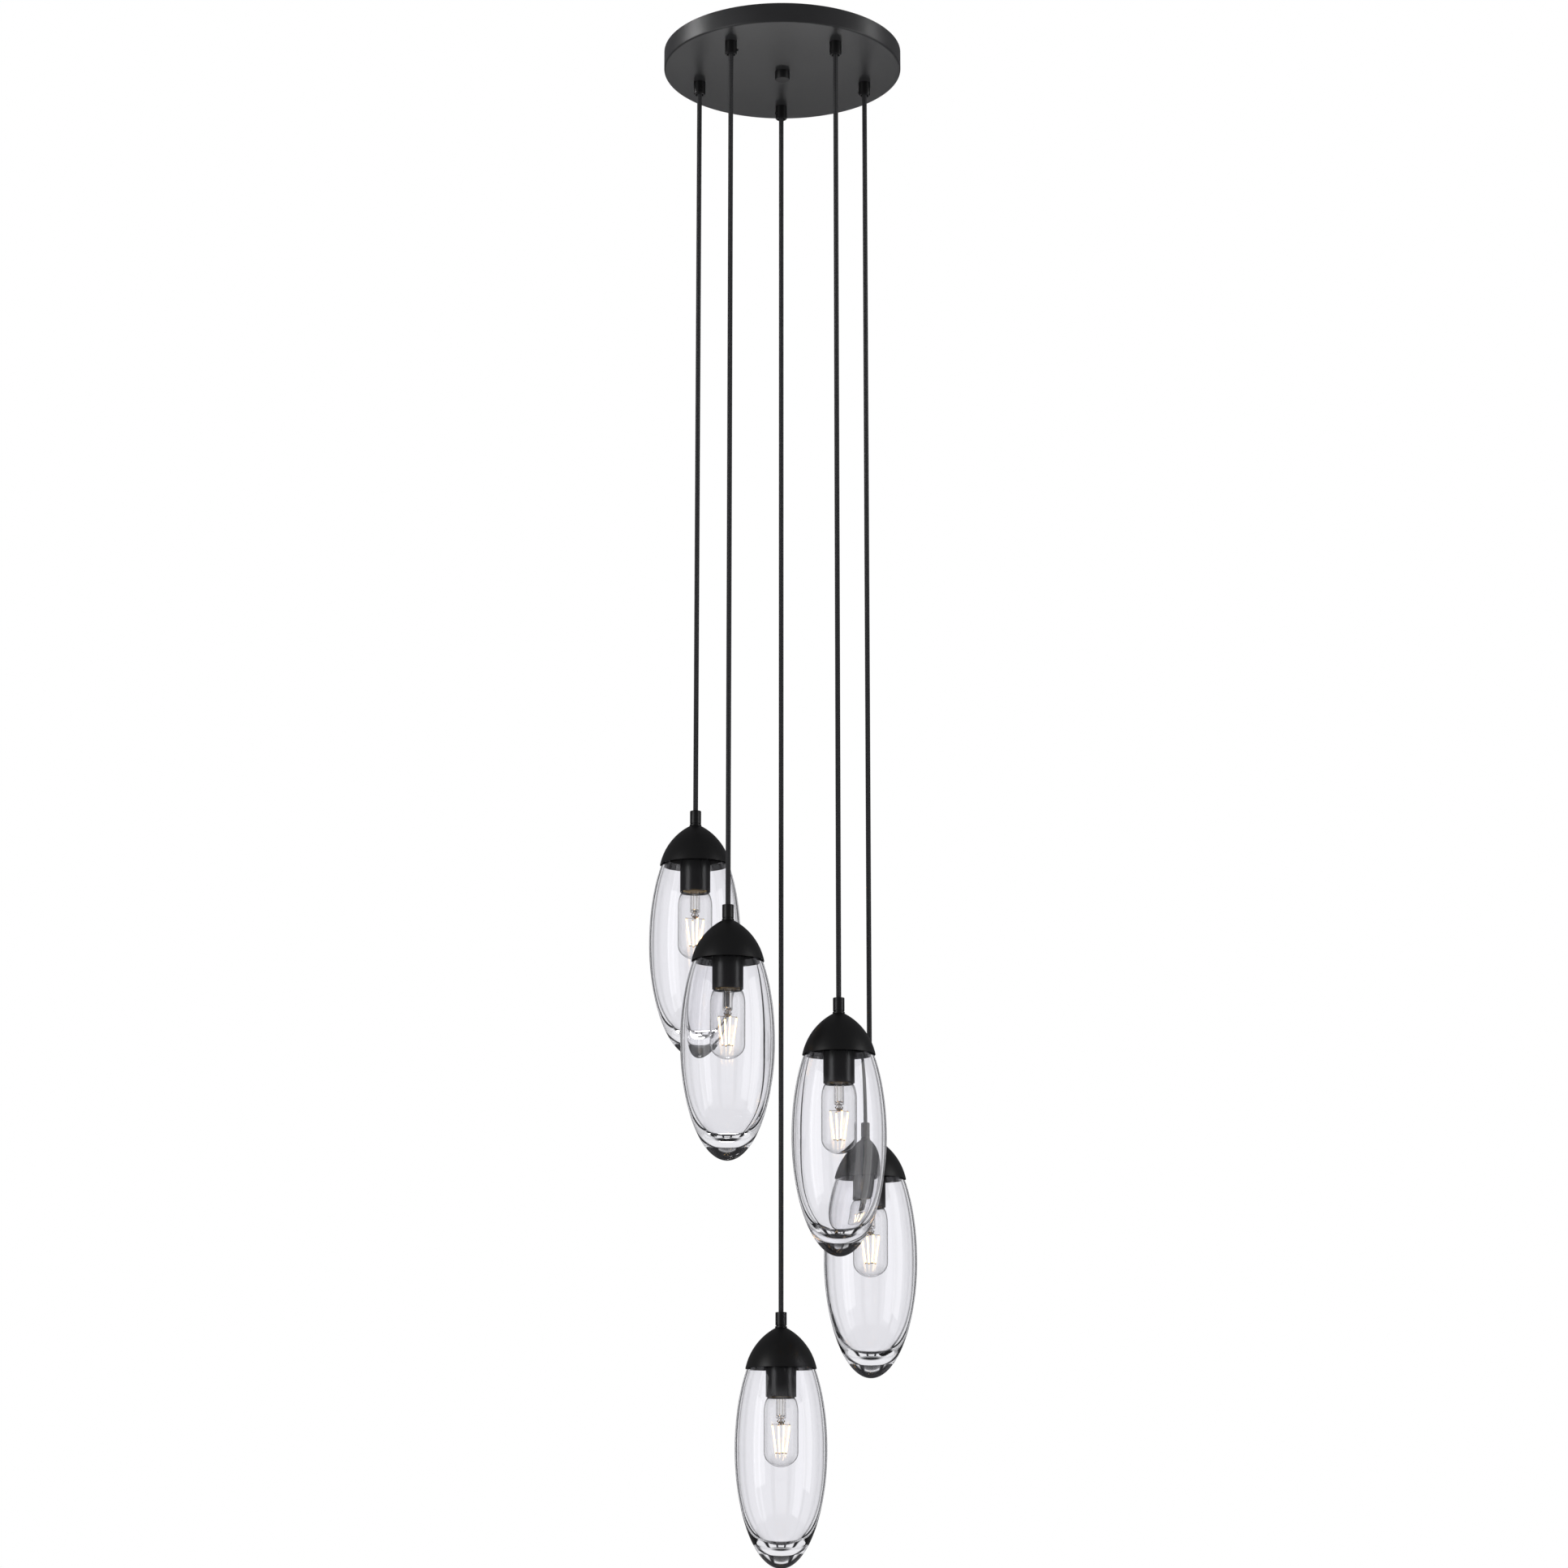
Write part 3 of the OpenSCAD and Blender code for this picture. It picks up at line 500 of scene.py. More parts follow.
coupler_outline = (
    [(0.0, 0.0)]
    + corner(COUPLER_RING, 0.0, COUPLER_ROUND, -90)
    + corner(COUPLER_RING, RING_HEIGHT, COUPLER_ROUND, 0)
    + [(GROOVE_RADIUS, RING_HEIGHT), (GROOVE_RADIUS, groove_top)]
    + corner(COUPLER_RADIUS, groove_top, GROOVE_ROUND, -90, 3)
    + corner(COUPLER_RADIUS, COUPLER_HEIGHT, COUPLER_ROUND, 0)
    + [(CORD_HOLE + BROKEN_EDGE, COUPLER_HEIGHT), (CORD_HOLE, COUPLER_HEIGHT - BROKEN_EDGE)]
    + [(CORD_HOLE, seat), (0.0, seat)]
)
for k in PENDANTS:
    top = raised(rim_middle(k), cap_height)
    coupler = spun_piece(f"coupler_post_{k}", coupler_outline, top, turned_black, steps=COUPLER_STEPS)
    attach(coupler, f"pendant_{k}")
    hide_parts(f"coupler_{k}")

# Caps. Domes spun from sheet over a wooden former, one round arc from the rim to the flat
# top, with a softened rim. They wear the same satin black powder as the canopy, whose paler
# black is painted light.
CAP_TOP_RADIUS = 0.008
CAP_ARC = 0.077
CAP_SHEET = 0.0012
CAP_BLACK = (0.0105, 0.0105, 0.0108, 1)
CAP_ROUGHNESS = 0.39
RIM_RISE = 0.0004
DOME_STEPS = 40


def dome_radius(z, inset=0.0):
    """Radius at height z of the dome, or of the dome inset inside it."""
    return dome_centre[0] + math.sqrt((CAP_ARC - inset) ** 2 - (z - dome_centre[1]) ** 2)


cap_radius = (cap_high.x - cap_low.x) / 2
half_chord = Vector((CAP_TOP_RADIUS - cap_radius, cap_height)) / 2
reach = math.sqrt(CAP_ARC ** 2 - half_chord.length ** 2) / half_chord.length
dome_centre = (
    cap_radius + half_chord.x - reach * half_chord.y,
    half_chord.y + reach * half_chord.x,
)
cap_ceiling = cap_height - CAP_SHEET
cap_rims = [(cap_radius - CAP_SHEET * 0.75, 0.0), (cap_radius - CAP_SHEET * 0.25, 0.0)]
rises = [i / DOME_STEPS for i in range(DOME_STEPS + 1)]
cap_levels = [RIM_RISE + (cap_height - RIM_RISE) * rise for rise in rises]
inner_levels = [RIM_RISE + (cap_ceiling - RIM_RISE) * (1 - rise) for rise in rises]
cap_outline = (
    cap_rims
    + [(dome_radius(z), z) for z in cap_levels]
    + [(STUD_HOLE, cap_height), (STUD_HOLE, cap_ceiling)]
    + [(dome_radius(z, CAP_SHEET), z) for z in inner_levels]
)
cap_coat = powder_coat("cap_powder", CAP_BLACK, CAP_ROUGHNESS)
for k in PENDANTS:
    middle = rim_middle(k)
    cap = spun_piece(f"domed_cap_{k}", cap_outline + cap_outline[:1], middle, cap_coat)
    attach(cap, f"pendant_{k}")
    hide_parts(f"cap_{k}")

# Socket cups. Deep-drawn cylinders with a rounded shoulder that hide the lampholders. Each
# hangs inside its cap on a hollow threaded stem and shows below the cap's rim.
CUP_RADIUS = 0.01985
CUP_DROP = 0.0366
CUP_RISE = 0.024
CUP_SHEET = 0.0012
CUP_SHOULDER = 0.004
CUP_STEM = 0.0049
STEM_BORE = 0.0032
STEM_RISE = 0.006
STEM_COLLAR = 0.0065
COLLAR_HEIGHT = 0.003
CUP_LIP_ROUND = 0.0005
CUP_BLACK = (0.0075, 0.0075, 0.008, 1)
CUP_ROUGHNESS = 0.3
CUP_GRAIN = 0.00001

shoulder = (CUP_RADIUS - CUP_SHOULDER, CUP_RISE - CUP_SHOULDER)
cup_inside = CUP_RADIUS - CUP_SHEET
collar_low = cap_ceiling - COLLAR_HEIGHT
collar_top = cap_ceiling - BROKEN_EDGE
stem_top = cap_height + STEM_RISE
cup_outline = (
    [(cup_inside, -CUP_DROP + BROKEN_EDGE), (cup_inside + BROKEN_EDGE, -CUP_DROP)]
    + corner(CUP_RADIUS, -CUP_DROP, CUP_LIP_ROUND, -90)
    + arc(shoulder, CUP_SHOULDER, 0, 90, 8)
    + [(CUP_STEM, CUP_RISE), (CUP_STEM, collar_low), (STEM_COLLAR, collar_low)]
    + [(STEM_COLLAR, collar_top), (CUP_STEM, collar_top), (CUP_STEM, stem_top)]
    + [(STEM_BORE, stem_top), (STEM_BORE, CUP_RISE - CUP_SHEET)]
    + arc(shoulder, CUP_SHOULDER - CUP_SHEET, 90, 0, 6)
)
cup_coat = powder_coat("cup_black", CUP_BLACK, CUP_ROUGHNESS, CUP_GRAIN)
for k in PENDANTS:
    middle = rim_middle(k)
    cup = spun_piece(f"socket_cover_{k}", cup_outline + cup_outline[:1], middle, cup_coat, steps=SMALL_STEPS)
    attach(cup, f"pendant_{k}")
    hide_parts(f"socket_cup_{k}")

# Lampholders. A black insulating body with a pressed brass screw shell in it. Looking up
# past the lamp's neck, the brass fills most of the cup's mouth.
HOLDER_RADIUS = 0.0185
HOLDER_INSET = 0.0046
SHELL_RADIUS = 0.0135
SHELL_FLARE = 0.0181
FLARE_NECK = 0.0150
FLARE_DROP = 0.0013
FLUTES = 28
FLUTE_STEPS = 7
FLUTE_DEPTH = 0.0004
HOLDER_BEVEL = 0.0005
HOLDER_STEP = -0.004
HOLDER_SLOPE = 0.001
HOLDER_NARROWING = 0.005
HOLDER_CLEAR = 0.0002
HOLDER_HOLE = 0.0016
HOLDER_FLOOR = -0.007
SHELL_PLAY = 0.0004
SHELL_TOP = -0.0072
SHELL_SHEET = 0.0003
SHELL_LIP = 0.0004
LIP_INSIDE = 0.0001
FLARE_EDGE = 0.0002
HOLDER_BLACK = (0.02, 0.02, 0.02, 1)
HOLDER_ROUGHNESS = 0.45
SHELL_ROUGHNESS = 0.35
BRASS = (0.5, 0.35, 0.13, 1)
TARNISHED = (0.26, 0.17, 0.06, 1)


def pressed_brass(name, roughness):
    """Brass off the press tool, dull where it has tarnished."""
    paint = new_paint(name)
    spot = paint.place()
    tarnish = paint.node("ShaderNodeTexNoise", {}, {"Vector": spot, "Scale": 260.0, "Detail": 4.0})["Fac"]
    return paint.cover(paint.surface(
        Base_Color=paint.mix(tarnish.step_up(0.35, 0.75), BRASS, TARNISHED),
        Metallic=1.0, Roughness=tarnish * 0.25 + (roughness - 0.1), Normal=paint.bump(tarnish, 0.00004),
    ))


holder_low = -CUP_DROP + HOLDER_INSET
holder_top = CUP_RISE - CUP_SHEET - HOLDER_CLEAR
holder_bore = SHELL_RADIUS + SHELL_PLAY
holder_neck = HOLDER_RADIUS - HOLDER_NARROWING
shell_outside = SHELL_RADIUS + SHELL_SHEET
flare_low = holder_low - FLARE_DROP
holder_body = moulding("holder_moulding", HOLDER_BLACK, HOLDER_ROUGHNESS)
shell_brass = pressed_brass("shell_brass", SHELL_ROUGHNESS)
body_outline = [
    (holder_bore, holder_low), (HOLDER_RADIUS - HOLDER_BEVEL, holder_low),
    (HOLDER_RADIUS, holder_low + HOLDER_BEVEL), (HOLDER_RADIUS, HOLDER_STEP),
    (holder_neck, HOLDER_STEP + HOLDER_SLOPE), (holder_neck, holder_top),
    (HOLDER_HOLE, holder_top), (HOLDER_HOLE, HOLDER_FLOOR), (holder_bore, HOLDER_FLOOR),
]
shell_outline = [
    (SHELL_RADIUS, SHELL_TOP), (SHELL_RADIUS, holder_low - SHELL_LIP), (FLARE_NECK, holder_low - SHELL_LIP),
    (SHELL_FLARE, flare_low), (SHELL_FLARE + FLARE_EDGE, flare_low + FLARE_EDGE),
    (FLARE_NECK + LIP_INSIDE, holder_low - LIP_INSIDE), (shell_outside, holder_low - LIP_INSIDE),
    (shell_outside, SHELL_TOP),
]
for k in PENDANTS:
    middle = rim_middle(k)
    body = spun_piece(
        f"holder_body_{k}", body_outline + body_outline[:1], middle, holder_body, steps=SMALL_STEPS,
    )
    shell = spun_piece(
        f"screw_shell_{k}", shell_outline + shell_outline[:1], middle, shell_brass,
        steps=FLUTE_STEPS * FLUTES,
    )
    for vertex in shell.data.vertices:
        out = vertex.co - middle
        spread = (math.hypot(out.x, out.y) - FLARE_NECK) / (SHELL_FLARE - FLARE_NECK)
        if spread > 0:
            vertex.co.z += FLUTE_DEPTH * spread * math.cos(FLUTES * math.atan2(out.y, out.x))
    for piece in (body, shell):
        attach(piece, f"pendant_{k}")
        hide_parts(f"lampholder_{k}")

# Lamps. A rolled brass screw base, a clear tubular envelope blown to a round end, and inside
# it a pressed glass stem that carries four phosphor-coated filament rods on fine wires.
LAMP_STEPS = 128
LAMP_RADIUS = 0.0225
LAMP_NECK = 0.0144
LAMP_END = -0.1255
LAMP_END_HEIGHT = 0.019
LAMP_SHOULDER = 0.021
LAMP_WALL = 0.0008
NECK_LENGTH = 0.0006
END_STEPS = 16
SHOULDER_STEPS = 14
BASE_COLLAR = 0.003
COLLAR_INSET = 0.0003
BASE_GAP = 0.0001
BASE_HEIGHT = 0.024
BASE_RADIUS = 0.0130
INSULATOR_RADIUS = 0.00806
CONTACT_RADIUS = 0.00442
CONTACT_SIDE = 0.0025
CONTACT_HEIGHT = 0.003
THREAD_TURNS = 7
THREAD_STEPS = 84
THREAD_RELIEF = 0.0004
THREAD_START = 0.0042
THREAD_LENGTH = 0.0156
STEM_STEPS = 48
STEM_RADIUS = 0.0063
STEM_LENGTH = 0.029
STEM_WALL = 0.001
STEM_ROUND = 0.00189
STEM_GAP = 0.001
PINCH = ((1.0, 0.004), (0.6, 0.0026), (0.0, 0.0024))
LEAD_SPREAD = 0.0024
LEAD_JOIN = 0.006
LEAD_END = 0.001
FILAMENT_RADIUS = 0.0011
FILAMENT_SIDES = 16
FILAMENT_CORE = 0.00085
CORE_SIDES = 12
FILAMENT_TOP = -0.0728
FILAMENT_LOW = -0.1074
COAT_END = 0.03
CORE_END = 0.02
TOP_SPREAD = 0.0118
LOW_SPREAD = 0.0068
FIRST_ROD = math.radians(17)
WIRE_RADIUS = 0.00028
WIRE_SIDES = 8
LOOP_RADIUS = 0.00042
LOOP_OUT = 0.0046
LOOP_DROP = 0.0045
LOOP_START = 0.002
LOOP_END = 0.0022
HUB_RISE = 0.0012
FOOT_DROP = 0.0006
HUB_BEAD = 0.0011
KNEE_BEAD = 0.0006
FOOT_BEAD = 0.0008
LOOP_BEAD = 0.0009
SIDE_BEAD = 0.0012
SIDE_BEAD_PLACE = 0.45
LAMP_BRASS_ROUGHNESS = 0.32
LAMP_TINT = (0.99, 0.99, 0.99, 1)
STEM_TINT = (0.99, 0.985, 0.97, 1)
LAMP_INDEX = 1.45
PASSED_TINT = (0.95, 0.95, 0.96, 1)
CORE_BODY = ((1.0, 0.85, 0.6, 1), (1.0, 0.85, 0.6, 1))
CORE_GLOW = ((1.0, 0.78, 0.45, 1), (1.0, 0.86, 0.6, 1))
CORE_STRENGTH = 5.0
CORE_ROUGHNESS = 0.5
COAT_BODY = ((0.9, 0.5, 0.14, 1), (1.0, 0.62, 0.2, 1))
COAT_GLOW = ((1.0, 0.62, 0.22, 1), (1.0, 0.74, 0.34, 1))
COAT_STRENGTH = 1.3
COAT_ROUGHNESS = 0.45
COAT_ALPHA = 0.45
WIRE_BRIGHT = (0.42, 0.3, 0.14, 1)
WIRE_DULL = (0.14, 0.1, 0.06, 1)

base_low = holder_low - BASE_GAP - BASE_COLLAR
base_top = base_low + BASE_HEIGHT


def clear_glass(name, tint, index):
    """Clear glass. Shadows and bounced light pass straight through it, so that light reaches
    what it encloses. Reflections inside its own wall stay."""
    paint = new_paint(name)
    body = paint.surface(Base_Color=tint, Roughness=0.0, Transmission_Weight=1.0, IOR=index)
    open_air = paint.node("ShaderNodeBsdfTransparent", {}, {"Color": PASSED_TINT})["BSDF"]
    path = paint.node("ShaderNodeLightPath")
    inside = paint.node("ShaderNodeNewGeometry")["Backfacing"]
    outside = path["Transparent Depth"].above(0.5).larger(1.0 - inside)
    straight = path["Is Shadow Ray"].larger(path["Is Reflection Ray"] * outside)
    return paint.cover(paint.blend(straight, body, open_air))


def envelope(inset):
    """Outline of the lamp's glass from the middle of its end up to the neck."""
    r, neck, tall = LAMP_RADIUS - inset, LAMP_NECK - inset, LAMP_SHOULDER - inset
    bowl = [math.pi / 2 * (i / END_STEPS - 1) for i in range(1, END_STEPS + 1)]
    bend = [math.pi / 2 * i / SHOULDER_STEPS for i in range(SHOULDER_STEPS + 1)]
    low = LAMP_END + inset
    top = base_low - NECK_LENGTH - LAMP_SHOULDER
    return (
        [(0.0, low)]
        + [(r * math.cos(a), low + (LAMP_END_HEIGHT - inset) * (1 + math.sin(a))) for a in bowl]
        + [(neck + (r - neck) * math.cos(a), top + tall * math.sin(a)) for a in bend]
        + [(neck, base_low)]
    )


def thread_point(i):
    """Step i of the rolled thread's rounded wave, from the collar up."""
    wave = math.cos(math.tau * THREAD_TURNS * i / THREAD_STEPS)
    rise = THREAD_START + THREAD_LENGTH * i / THREAD_STEPS
    return BASE_RADIUS - THREAD_RELIEF + THREAD_RELIEF * wave, base_low + rise


outer = envelope(0.0)
inner = envelope(LAMP_WALL)
collar_radius = LAMP_NECK - COLLAR_INSET
base_outline = (
    [(0.0, base_low), (collar_radius - BROKEN_EDGE, base_low), (collar_radius, base_low + BROKEN_EDGE)]
    + [(collar_radius, base_low + BASE_COLLAR / 2), (BASE_RADIUS, base_low + BASE_COLLAR)]
    + [thread_point(i) for i in range(THREAD_STEPS + 1)]
    + [(INSULATOR_RADIUS, base_top), (CONTACT_RADIUS, base_top)]
    + [(CONTACT_RADIUS, base_top + CONTACT_SIDE), (0.0, base_top + CONTACT_HEIGHT)]
)
stem_low = base_low - STEM_LENGTH
stem_high = base_low - STEM_GAP
stem_inside = STEM_RADIUS - STEM_WALL
stem_outline = (
    [(0.0, stem_low)]
    + corner(STEM_RADIUS, stem_low, STEM_ROUND, -90, 6)
    + [(STEM_RADIUS, stem_high), (stem_inside, stem_high)]
    + [(stem_inside * share, stem_low + rise) for share, rise in PINCH]
)
lamp_brass = pressed_brass("lamp_brass", LAMP_BRASS_ROUGHNESS)
lamp_clear = clear_glass("lamp_clear", LAMP_TINT, LAMP_INDEX)
stem_clear = clear_glass("stem_clear", STEM_TINT, LAMP_INDEX)


def phosphor(name, body, glow, strength, roughness, alpha=1.0):
    """Lit phosphor. Its body and its glow each speckle between two colours."""
    paint = new_paint(name)
    spot = paint.place()
    grain = paint.node("ShaderNodeTexNoise", {}, {"Vector": spot, "Scale": 700.0, "Detail": 2.0})["Fac"]
    return paint.cover(paint.surface(
        Base_Color=paint.mix(grain, *body), Roughness=roughness, Alpha=alpha,
        Emission_Color=paint.mix(grain, *glow), Emission_Strength=strength,
    ))


def drawn_wire(name):
    """Fine drawn copper wire, dull in patches."""
    paint = new_paint(name)
    spot = paint.place()
    grain = paint.node("ShaderNodeTexNoise", {}, {"Vector": spot, "Scale": 900.0})["Fac"]
    return paint.cover(paint.surface(
        Base_Color=paint.mix(grain, WIRE_BRIGHT, WIRE_DULL), Metallic=1.0, Roughness=grain * 0.3 + 0.2,
    ))


phosphor_core = phosphor("phosphor_glow", CORE_BODY, CORE_GLOW, CORE_STRENGTH, CORE_ROUGHNESS)
phosphor_coat = phosphor(
    "phosphor_coat", COAT_BODY, COAT_GLOW, COAT_STRENGTH, COAT_ROUGHNESS, COAT_ALPHA,
)
support_wire = drawn_wire("support_wire")


def joined(parts):
    """Several point and face lists as one."""
    points, faces = [], []
    for more_points, more_faces in parts:
        start = len(points)
        points += more_points
        faces += [tuple(start + i for i in f) for f in more_faces]
    return points, faces


def wire(path, radius=WIRE_RADIUS):
    return tube(path, radius, WIRE_SIDES)


def ball(spot, size):
    """Points and faces of a small round bead."""
    half_round = arc((0.0, 0.0), size, -90, 90, 8)
    return spun([(0.0, -size)] + half_round[1:-1] + [(0.0, size)], spot, 12)


for k in PENDANTS:
    middle = rim_middle(k)
    lamp = f"lamp_{k}"
    base = spun_piece(f"screw_base_{k}", base_outline, middle, lamp_brass, steps=SMALL_STEPS)
    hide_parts(f"lamp_base_{k}")
    bulb = spun_piece(f"lamp_envelope_{k}", outer + inner[::-1], middle, lamp_clear, steps=LAMP_STEPS)
    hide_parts(f"lamp_glass_{k}")
    stem = spun_piece(f"glass_stem_{k}", stem_outline, middle, stem_clear, steps=STEM_STEPS)
    coats, cores, wires = [], [], []
    tip = raised(middle, stem_low + LEAD_END)
    hub = raised(middle, FILAMENT_TOP + HUB_RISE)
    foot = raised(middle, FILAMENT_LOW - FOOT_DROP)
    wires.append(wire([tip, hub]))
    for side in (-LEAD_SPREAD, LEAD_SPREAD):
        lead = middle + Vector((side, 0, 0))
        wires.append(wire([raised(lead, base_low), raised(lead, stem_low + LEAD_JOIN), tip]))
    beads = [(hub, HUB_BEAD)]
    for q in range(4):
        a = FIRST_ROD + math.pi / 2 * q
        out = Vector((math.cos(a), math.sin(a), 0))
        high = raised(middle + TOP_SPREAD * out, FILAMENT_TOP)
        low = raised(middle + LOW_SPREAD * out, FILAMENT_LOW)
        ends = [low.lerp(high, COAT_END), low.lerp(high, 1 - COAT_END)]
        coats.append(tube([low, *ends, high], FILAMENT_RADIUS, FILAMENT_SIDES))
        core = [low.lerp(high, CORE_END), low.lerp(high, 1 - CORE_END)]
        cores.append(tube(core, FILAMENT_CORE, CORE_SIDES))
        knee = raised(high, HUB_RISE)
        loop = raised(tip + LOOP_OUT * out, -LOOP_DROP)
        heel = raised(low, -FOOT_DROP)
        wires.append(wire([high, knee, hub]))
        wires.append(wire([tip + LOOP_START * out, loop, hub + LOOP_END * out], LOOP_RADIUS))
        wires.append(wire([low, heel, foot]))
        beads += [(knee, KNEE_BEAD), (heel, FOOT_BEAD), (loop, LOOP_BEAD)]
        beads.append((loop.lerp(hub, SIDE_BEAD_PLACE), SIDE_BEAD))
    wires += [ball(spot, size) for spot, size in beads]
    filaments = mesh_piece(f"filament_coats_{k}", *joined(coats), phosphor_coat)
    glowing = mesh_piece(f"filament_cores_{k}", *joined(cores), phosphor_core)
    supports = mesh_piece(f"support_wires_{k}", *joined(wires), support_wire)
    for piece in (stem, filaments, glowing, supports):
        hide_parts(f"lamp_filament_{k}")
    for piece in (base, bulb, stem, filaments, glowing, supports):
        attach(piece, lamp)

# Glass shades. Blown eggs of clear soda glass: thin at the fire-polished mouth, four
# millimetres at the widest, and gathered into a thick solid tip that works as a lens.
SHADE_STEPS = 160
SHADE_RADIUS = 0.060
SHADE_DROP = 0.2544
SHADE_NECK = 0.012
SHADE_GAP = 0.0008
SHADE_WALL = 0.004
SHADE_FLOOR = 0.024
HOLLOW_FULLNESS = 2.3
MOUTH_WALL = 0.0037
LIP_ROUND = 0.0008
EGG_STEPS = 60
GLASS_TINT = (0.985, 0.983, 0.995, 1)
GLASS_INDEX = 1.5

neck_radius = cap_radius - CAP_SHEET - SHADE_GAP
neck_share = math.sqrt(1 - (neck_radius / SHADE_RADIUS) ** 2)
egg_tall = SHADE_DROP / (1 + neck_share)
egg_level = egg_tall - SHADE_DROP
lip_level = SHADE_NECK - LIP_ROUND
lip_radius = SHADE_RADIUS * math.sqrt(1 - ((SHADE_NECK - egg_level) / egg_tall) ** 2)
mouth_radius = lip_radius - MOUTH_WALL
hollow_wide = SHADE_RADIUS - SHADE_WALL
hollow_up = (SHADE_NECK - egg_level) / math.sqrt(1 - (mouth_radius / hollow_wide) ** 2)
hollow_down = egg_tall - SHADE_FLOOR


def egg(wide, up, down, fullness):
    """Half of an egg from its lowest point up to the lip: an ellipse above the widest ring,
    and below it a bowl that is fuller than an ellipse where fullness is over 2."""
    end = math.asin((lip_level - egg_level) / up)
    bowl = [math.pi / 2 * (1 - i / EGG_STEPS) for i in range(1, EGG_STEPS)]
    neck = [end * i / EGG_STEPS for i in range(EGG_STEPS + 1)]
    share = 2 / fullness
    return (
        [(0.0, egg_level - down)]
        + [(wide * math.cos(a) ** share, egg_level - down * math.sin(a) ** share) for a in bowl]
        + [(wide * math.cos(a), egg_level + up * math.sin(a)) for a in neck]
    )


outside = egg(SHADE_RADIUS, egg_tall, egg_tall, 2)
inside = egg(hollow_wide, hollow_up, hollow_down, HOLLOW_FULLNESS)
lip_outer = arc((outside[-1][0] - LIP_ROUND, lip_level), LIP_ROUND, 10, 90, 5)
lip_inner = arc((inside[-1][0] + LIP_ROUND, lip_level), LIP_ROUND, 90, 170, 5)
shade_outline = outside + lip_outer + lip_inner + inside[::-1]
shade_glass = clear_glass("shade_glass", GLASS_TINT, GLASS_INDEX)
for k in PENDANTS:
    shade = spun_piece(f"glass_egg_{k}", shade_outline, rim_middle(k), shade_glass, steps=SHADE_STEPS)
    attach(shade, f"shade_unit_{k}")
    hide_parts(f"shade_{k}")

# Shade rings. Pressed steel rings bonded over the glass mouths, with three slotted tabs
# that turn onto the pegs inside the caps. They stay out of sight behind the cap rims.
RING_BLACK = (0.015, 0.015, 0.015, 1)
RING_ROUGHNESS = 0.45

ring_coat = powder_coat("ring_black", RING_BLACK, RING_ROUGHNESS)
for k in PENDANTS:
    dress(f"shade_ring_{k}", ring_coat)

# Room. A pale floor well below the lamp and a white surround. Snoots at the left, at the right
# and low behind light the canopy and throw the shadows of the grips, and soft boxes at both
# sides draw the streaks on the caps. Dark flags stand all round and edge the glass with black.
FLOOR_LEVEL = -2.55
FLOOR_REACH = 20
FLOOR_SEEN = 0.85
FLOOR_PALE = (0.72, 0.72, 0.72, 1)
FLOOR_CLOUD = (0.76, 0.76, 0.76, 1)
FLOOR_LIT = (0.93, 0.93, 0.93, 1)
FLAG_COUNT = 8
FLAG_EDGE = (0.5, 0.94)
CEILING_EDGE = (0.36, 0.5)
PIT_EDGE = (0.57, 0.66)
FLAG_BLACK = (0.02, 0.02, 0.022, 1)
THROUGH_PALE = (0.9, 0.9, 0.925, 1)
GLOSS_GREY = (0.12, 0.12, 0.125, 1)
FILL_GREY = (0.7, 0.7, 0.72, 1)
FILL_STRENGTH = 0.3
PAPER_WHITE = (1, 1, 1, 1)
SNOOT_BLEND = 0.4


def backdrop_floor(name):
    """Painted board, lit evenly where the camera sees it. The glass and the gloss of the lamp
    see past it to the room's flags."""
    paint = new_paint(name)
    spot = paint.place()
    cloud = paint.node("ShaderNodeTexNoise", {}, {"Vector": spot, "Scale": 3.0})["Fac"]
    board = paint.surface(Base_Color=paint.mix(cloud, FLOOR_PALE, FLOOR_CLOUD), Roughness=0.7)
    path = paint.node("ShaderNodeLightPath")
    beyond = path["Is Transmission Ray"].larger(path["Is Glossy Ray"])
    open_floor = paint.node("ShaderNodeBsdfTransparent")["BSDF"]
    lit = paint.node("ShaderNodeEmission", {}, {"Color": FLOOR_LIT})["Emission"]
    board = paint.blend(path["Is Camera Ray"] * FLOOR_SEEN, board, lit)
    paint.cover(paint.blend(beyond, board, open_floor))
    return paint


corners = ((-1, -1), (1, -1), (1, 1), (-1, 1))
floor_points = [(FLOOR_REACH * x, FLOOR_REACH * y, FLOOR_LEVEL) for x, y in corners]
floor_paint = backdrop_floor("pale_floor")
mesh_piece("studio_floor", floor_points, [(0, 1, 2, 3)], floor_paint.data)

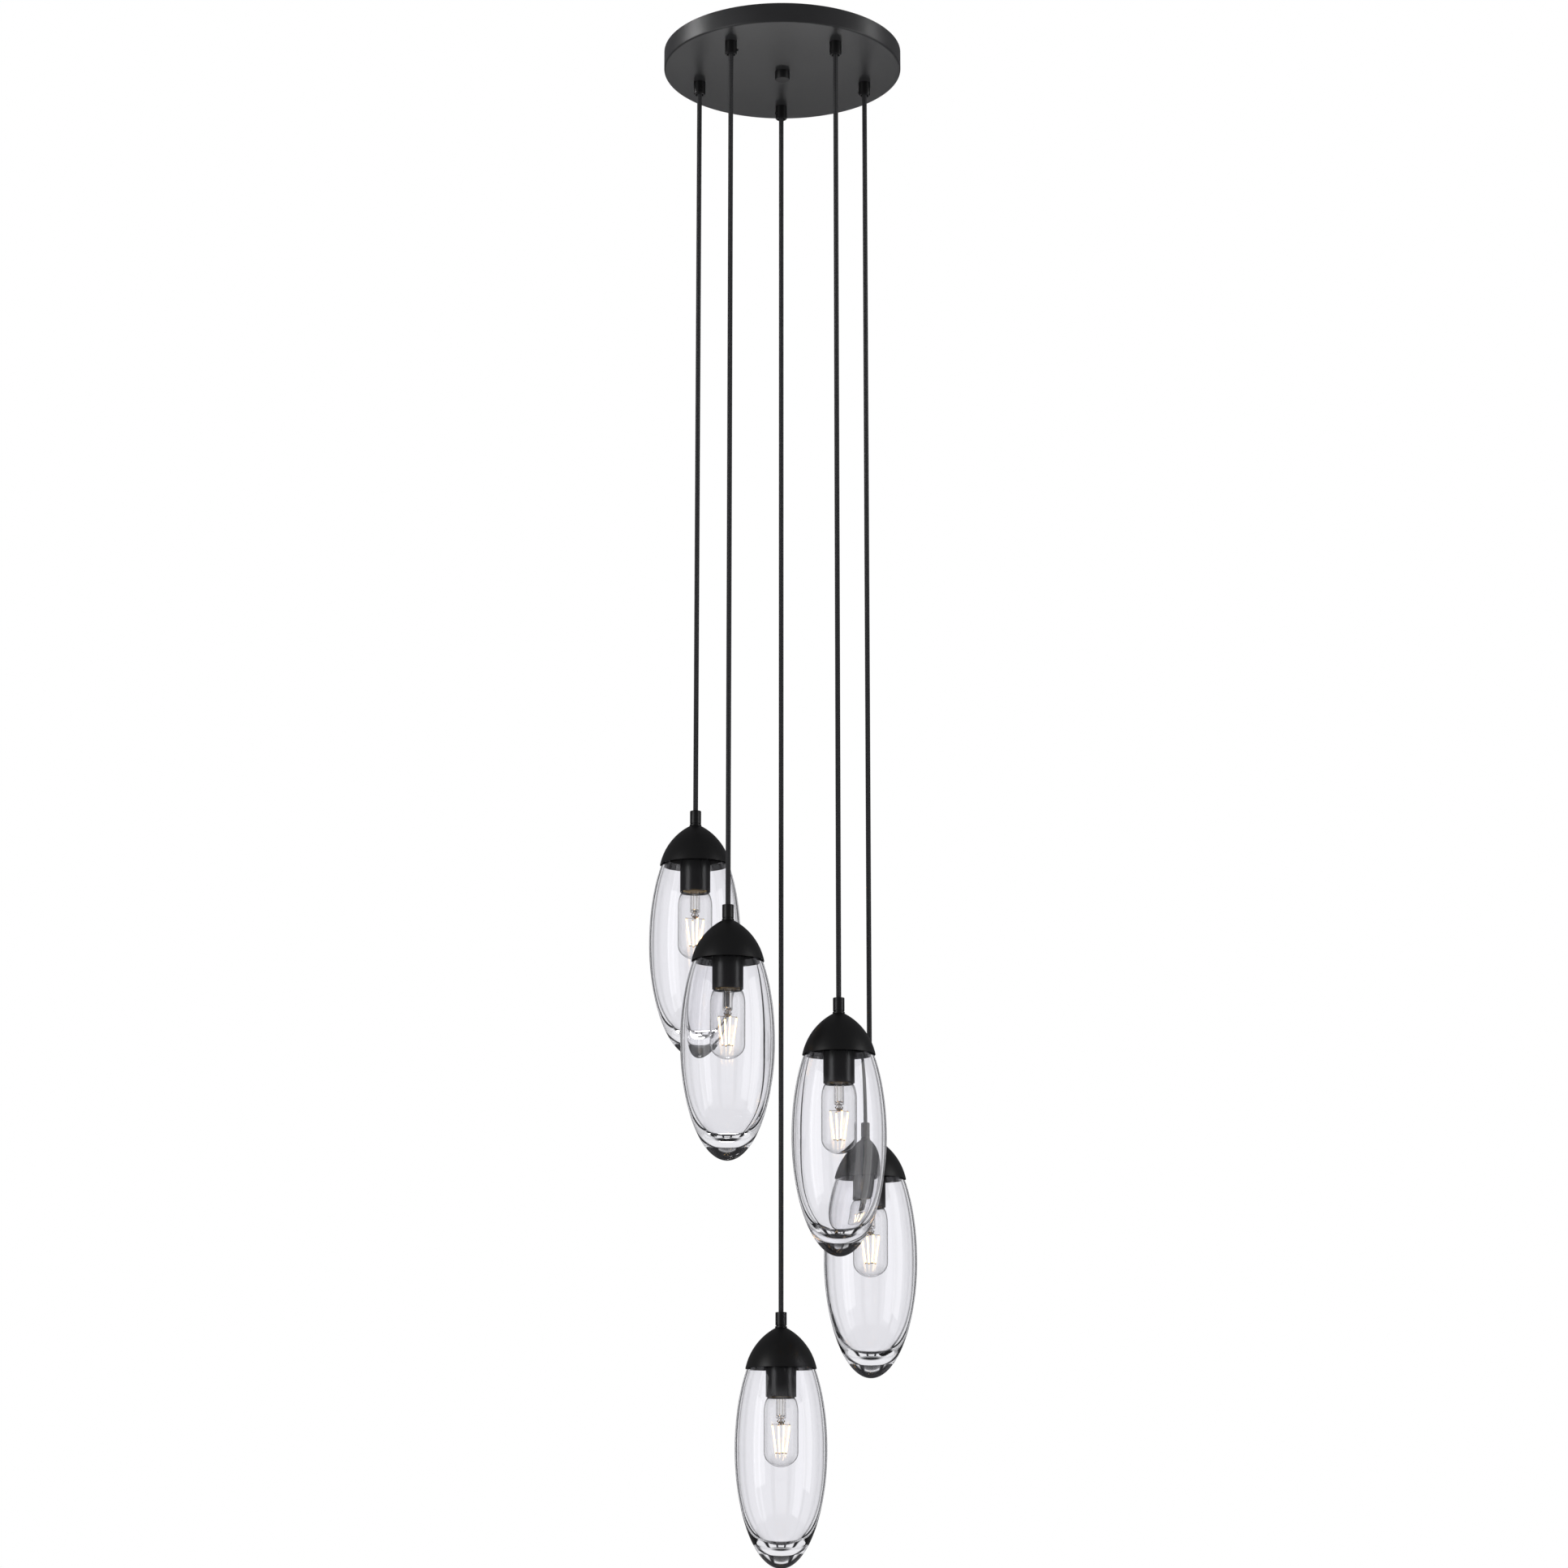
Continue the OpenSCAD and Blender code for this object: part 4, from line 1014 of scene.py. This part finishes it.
room = Paint(bpy.data.worlds.new("studio_room"))
bpy.context.scene.world = room.data
across, back, up = room.split(room.node("ShaderNodeTexCoord")["Generated"])
posts = (back.bearing(across) * FLAG_COUNT).cosine() * -1
flags = posts.step_up(*FLAG_EDGE)
ceiling = up.step_up(*CEILING_EDGE)
pit = (up * -1).step_up(*PIT_EDGE)
dark = flags.larger(ceiling.larger(pit))


def backdrop(colour, strength=1.0):
    """What the room sends to one kind of ray."""
    sockets = {"Color": colour, "Strength": strength}
    return room.node("ShaderNodeBackground", {}, sockets)["Background"]


seen = backdrop(room.mix(dark, THROUGH_PALE, FLAG_BLACK))
path = room.node("ShaderNodeLightPath")
lit = room.blend(path["Is Glossy Ray"], backdrop(FILL_GREY, FILL_STRENGTH), backdrop(GLOSS_GREY))
lit = room.blend(path["Is Transmission Ray"], lit, seen)
room.cover(room.blend(path["Is Camera Ray"], lit, backdrop(PAPER_WHITE)))


def studio_light(name, kind, place, aim, watts, **settings):
    """A light that stands at place and points at aim, with the settings of its kind."""
    data = bpy.data.lights.new(name, kind)
    data.energy = watts
    for key, value in settings.items():
        setattr(data, key, value)
    light = bpy.data.objects.new(name, data)
    bpy.context.collection.objects.link(light)
    light.location = place
    light.rotation_euler = (Vector(aim) - Vector(place)).to_track_quat("-Z", "Y").to_euler()
    return light


def soft_box(name, place, aim, wide, tall, watts):
    """A white cloth box. It doesn't show through the glass."""
    box = studio_light(name, "AREA", place, aim, watts, shape="RECTANGLE", size=wide, size_y=tall)
    box.visible_transmission = False


def snoot(name, place, aim, cone, wide, watts):
    """A lamp in a tube, which lights only a cone of so many degrees."""
    light = studio_light(name, "SPOT", place, aim, watts, spot_size=math.radians(cone))
    light.data.spot_blend = SNOOT_BLEND
    light.data.shadow_soft_size = wide / 2


snoot("left_snoot", (-2.95, 0.15, 1.0), (0, 0, -0.01), 11, 1.2, 400)
snoot("right_snoot", (3.0, 0.15, 1.0), (0, 0, -0.01), 11, 1.4, 240)
soft_box("left_box", (-2.7, -1.7, -1.1), (0, 0, -1.1), 1.7, 3.0, 32)
soft_box("right_box", (2.9, -0.9, -1.1), (0, 0, -1.1), 1.3, 3.0, 24)
snoot("low_back_snoot", (0.0, 2.2, -2.0), (0, 0, -0.02), 12, 2.4, 560)

view = bpy.context.scene.view_settings
view.view_transform = "Standard"
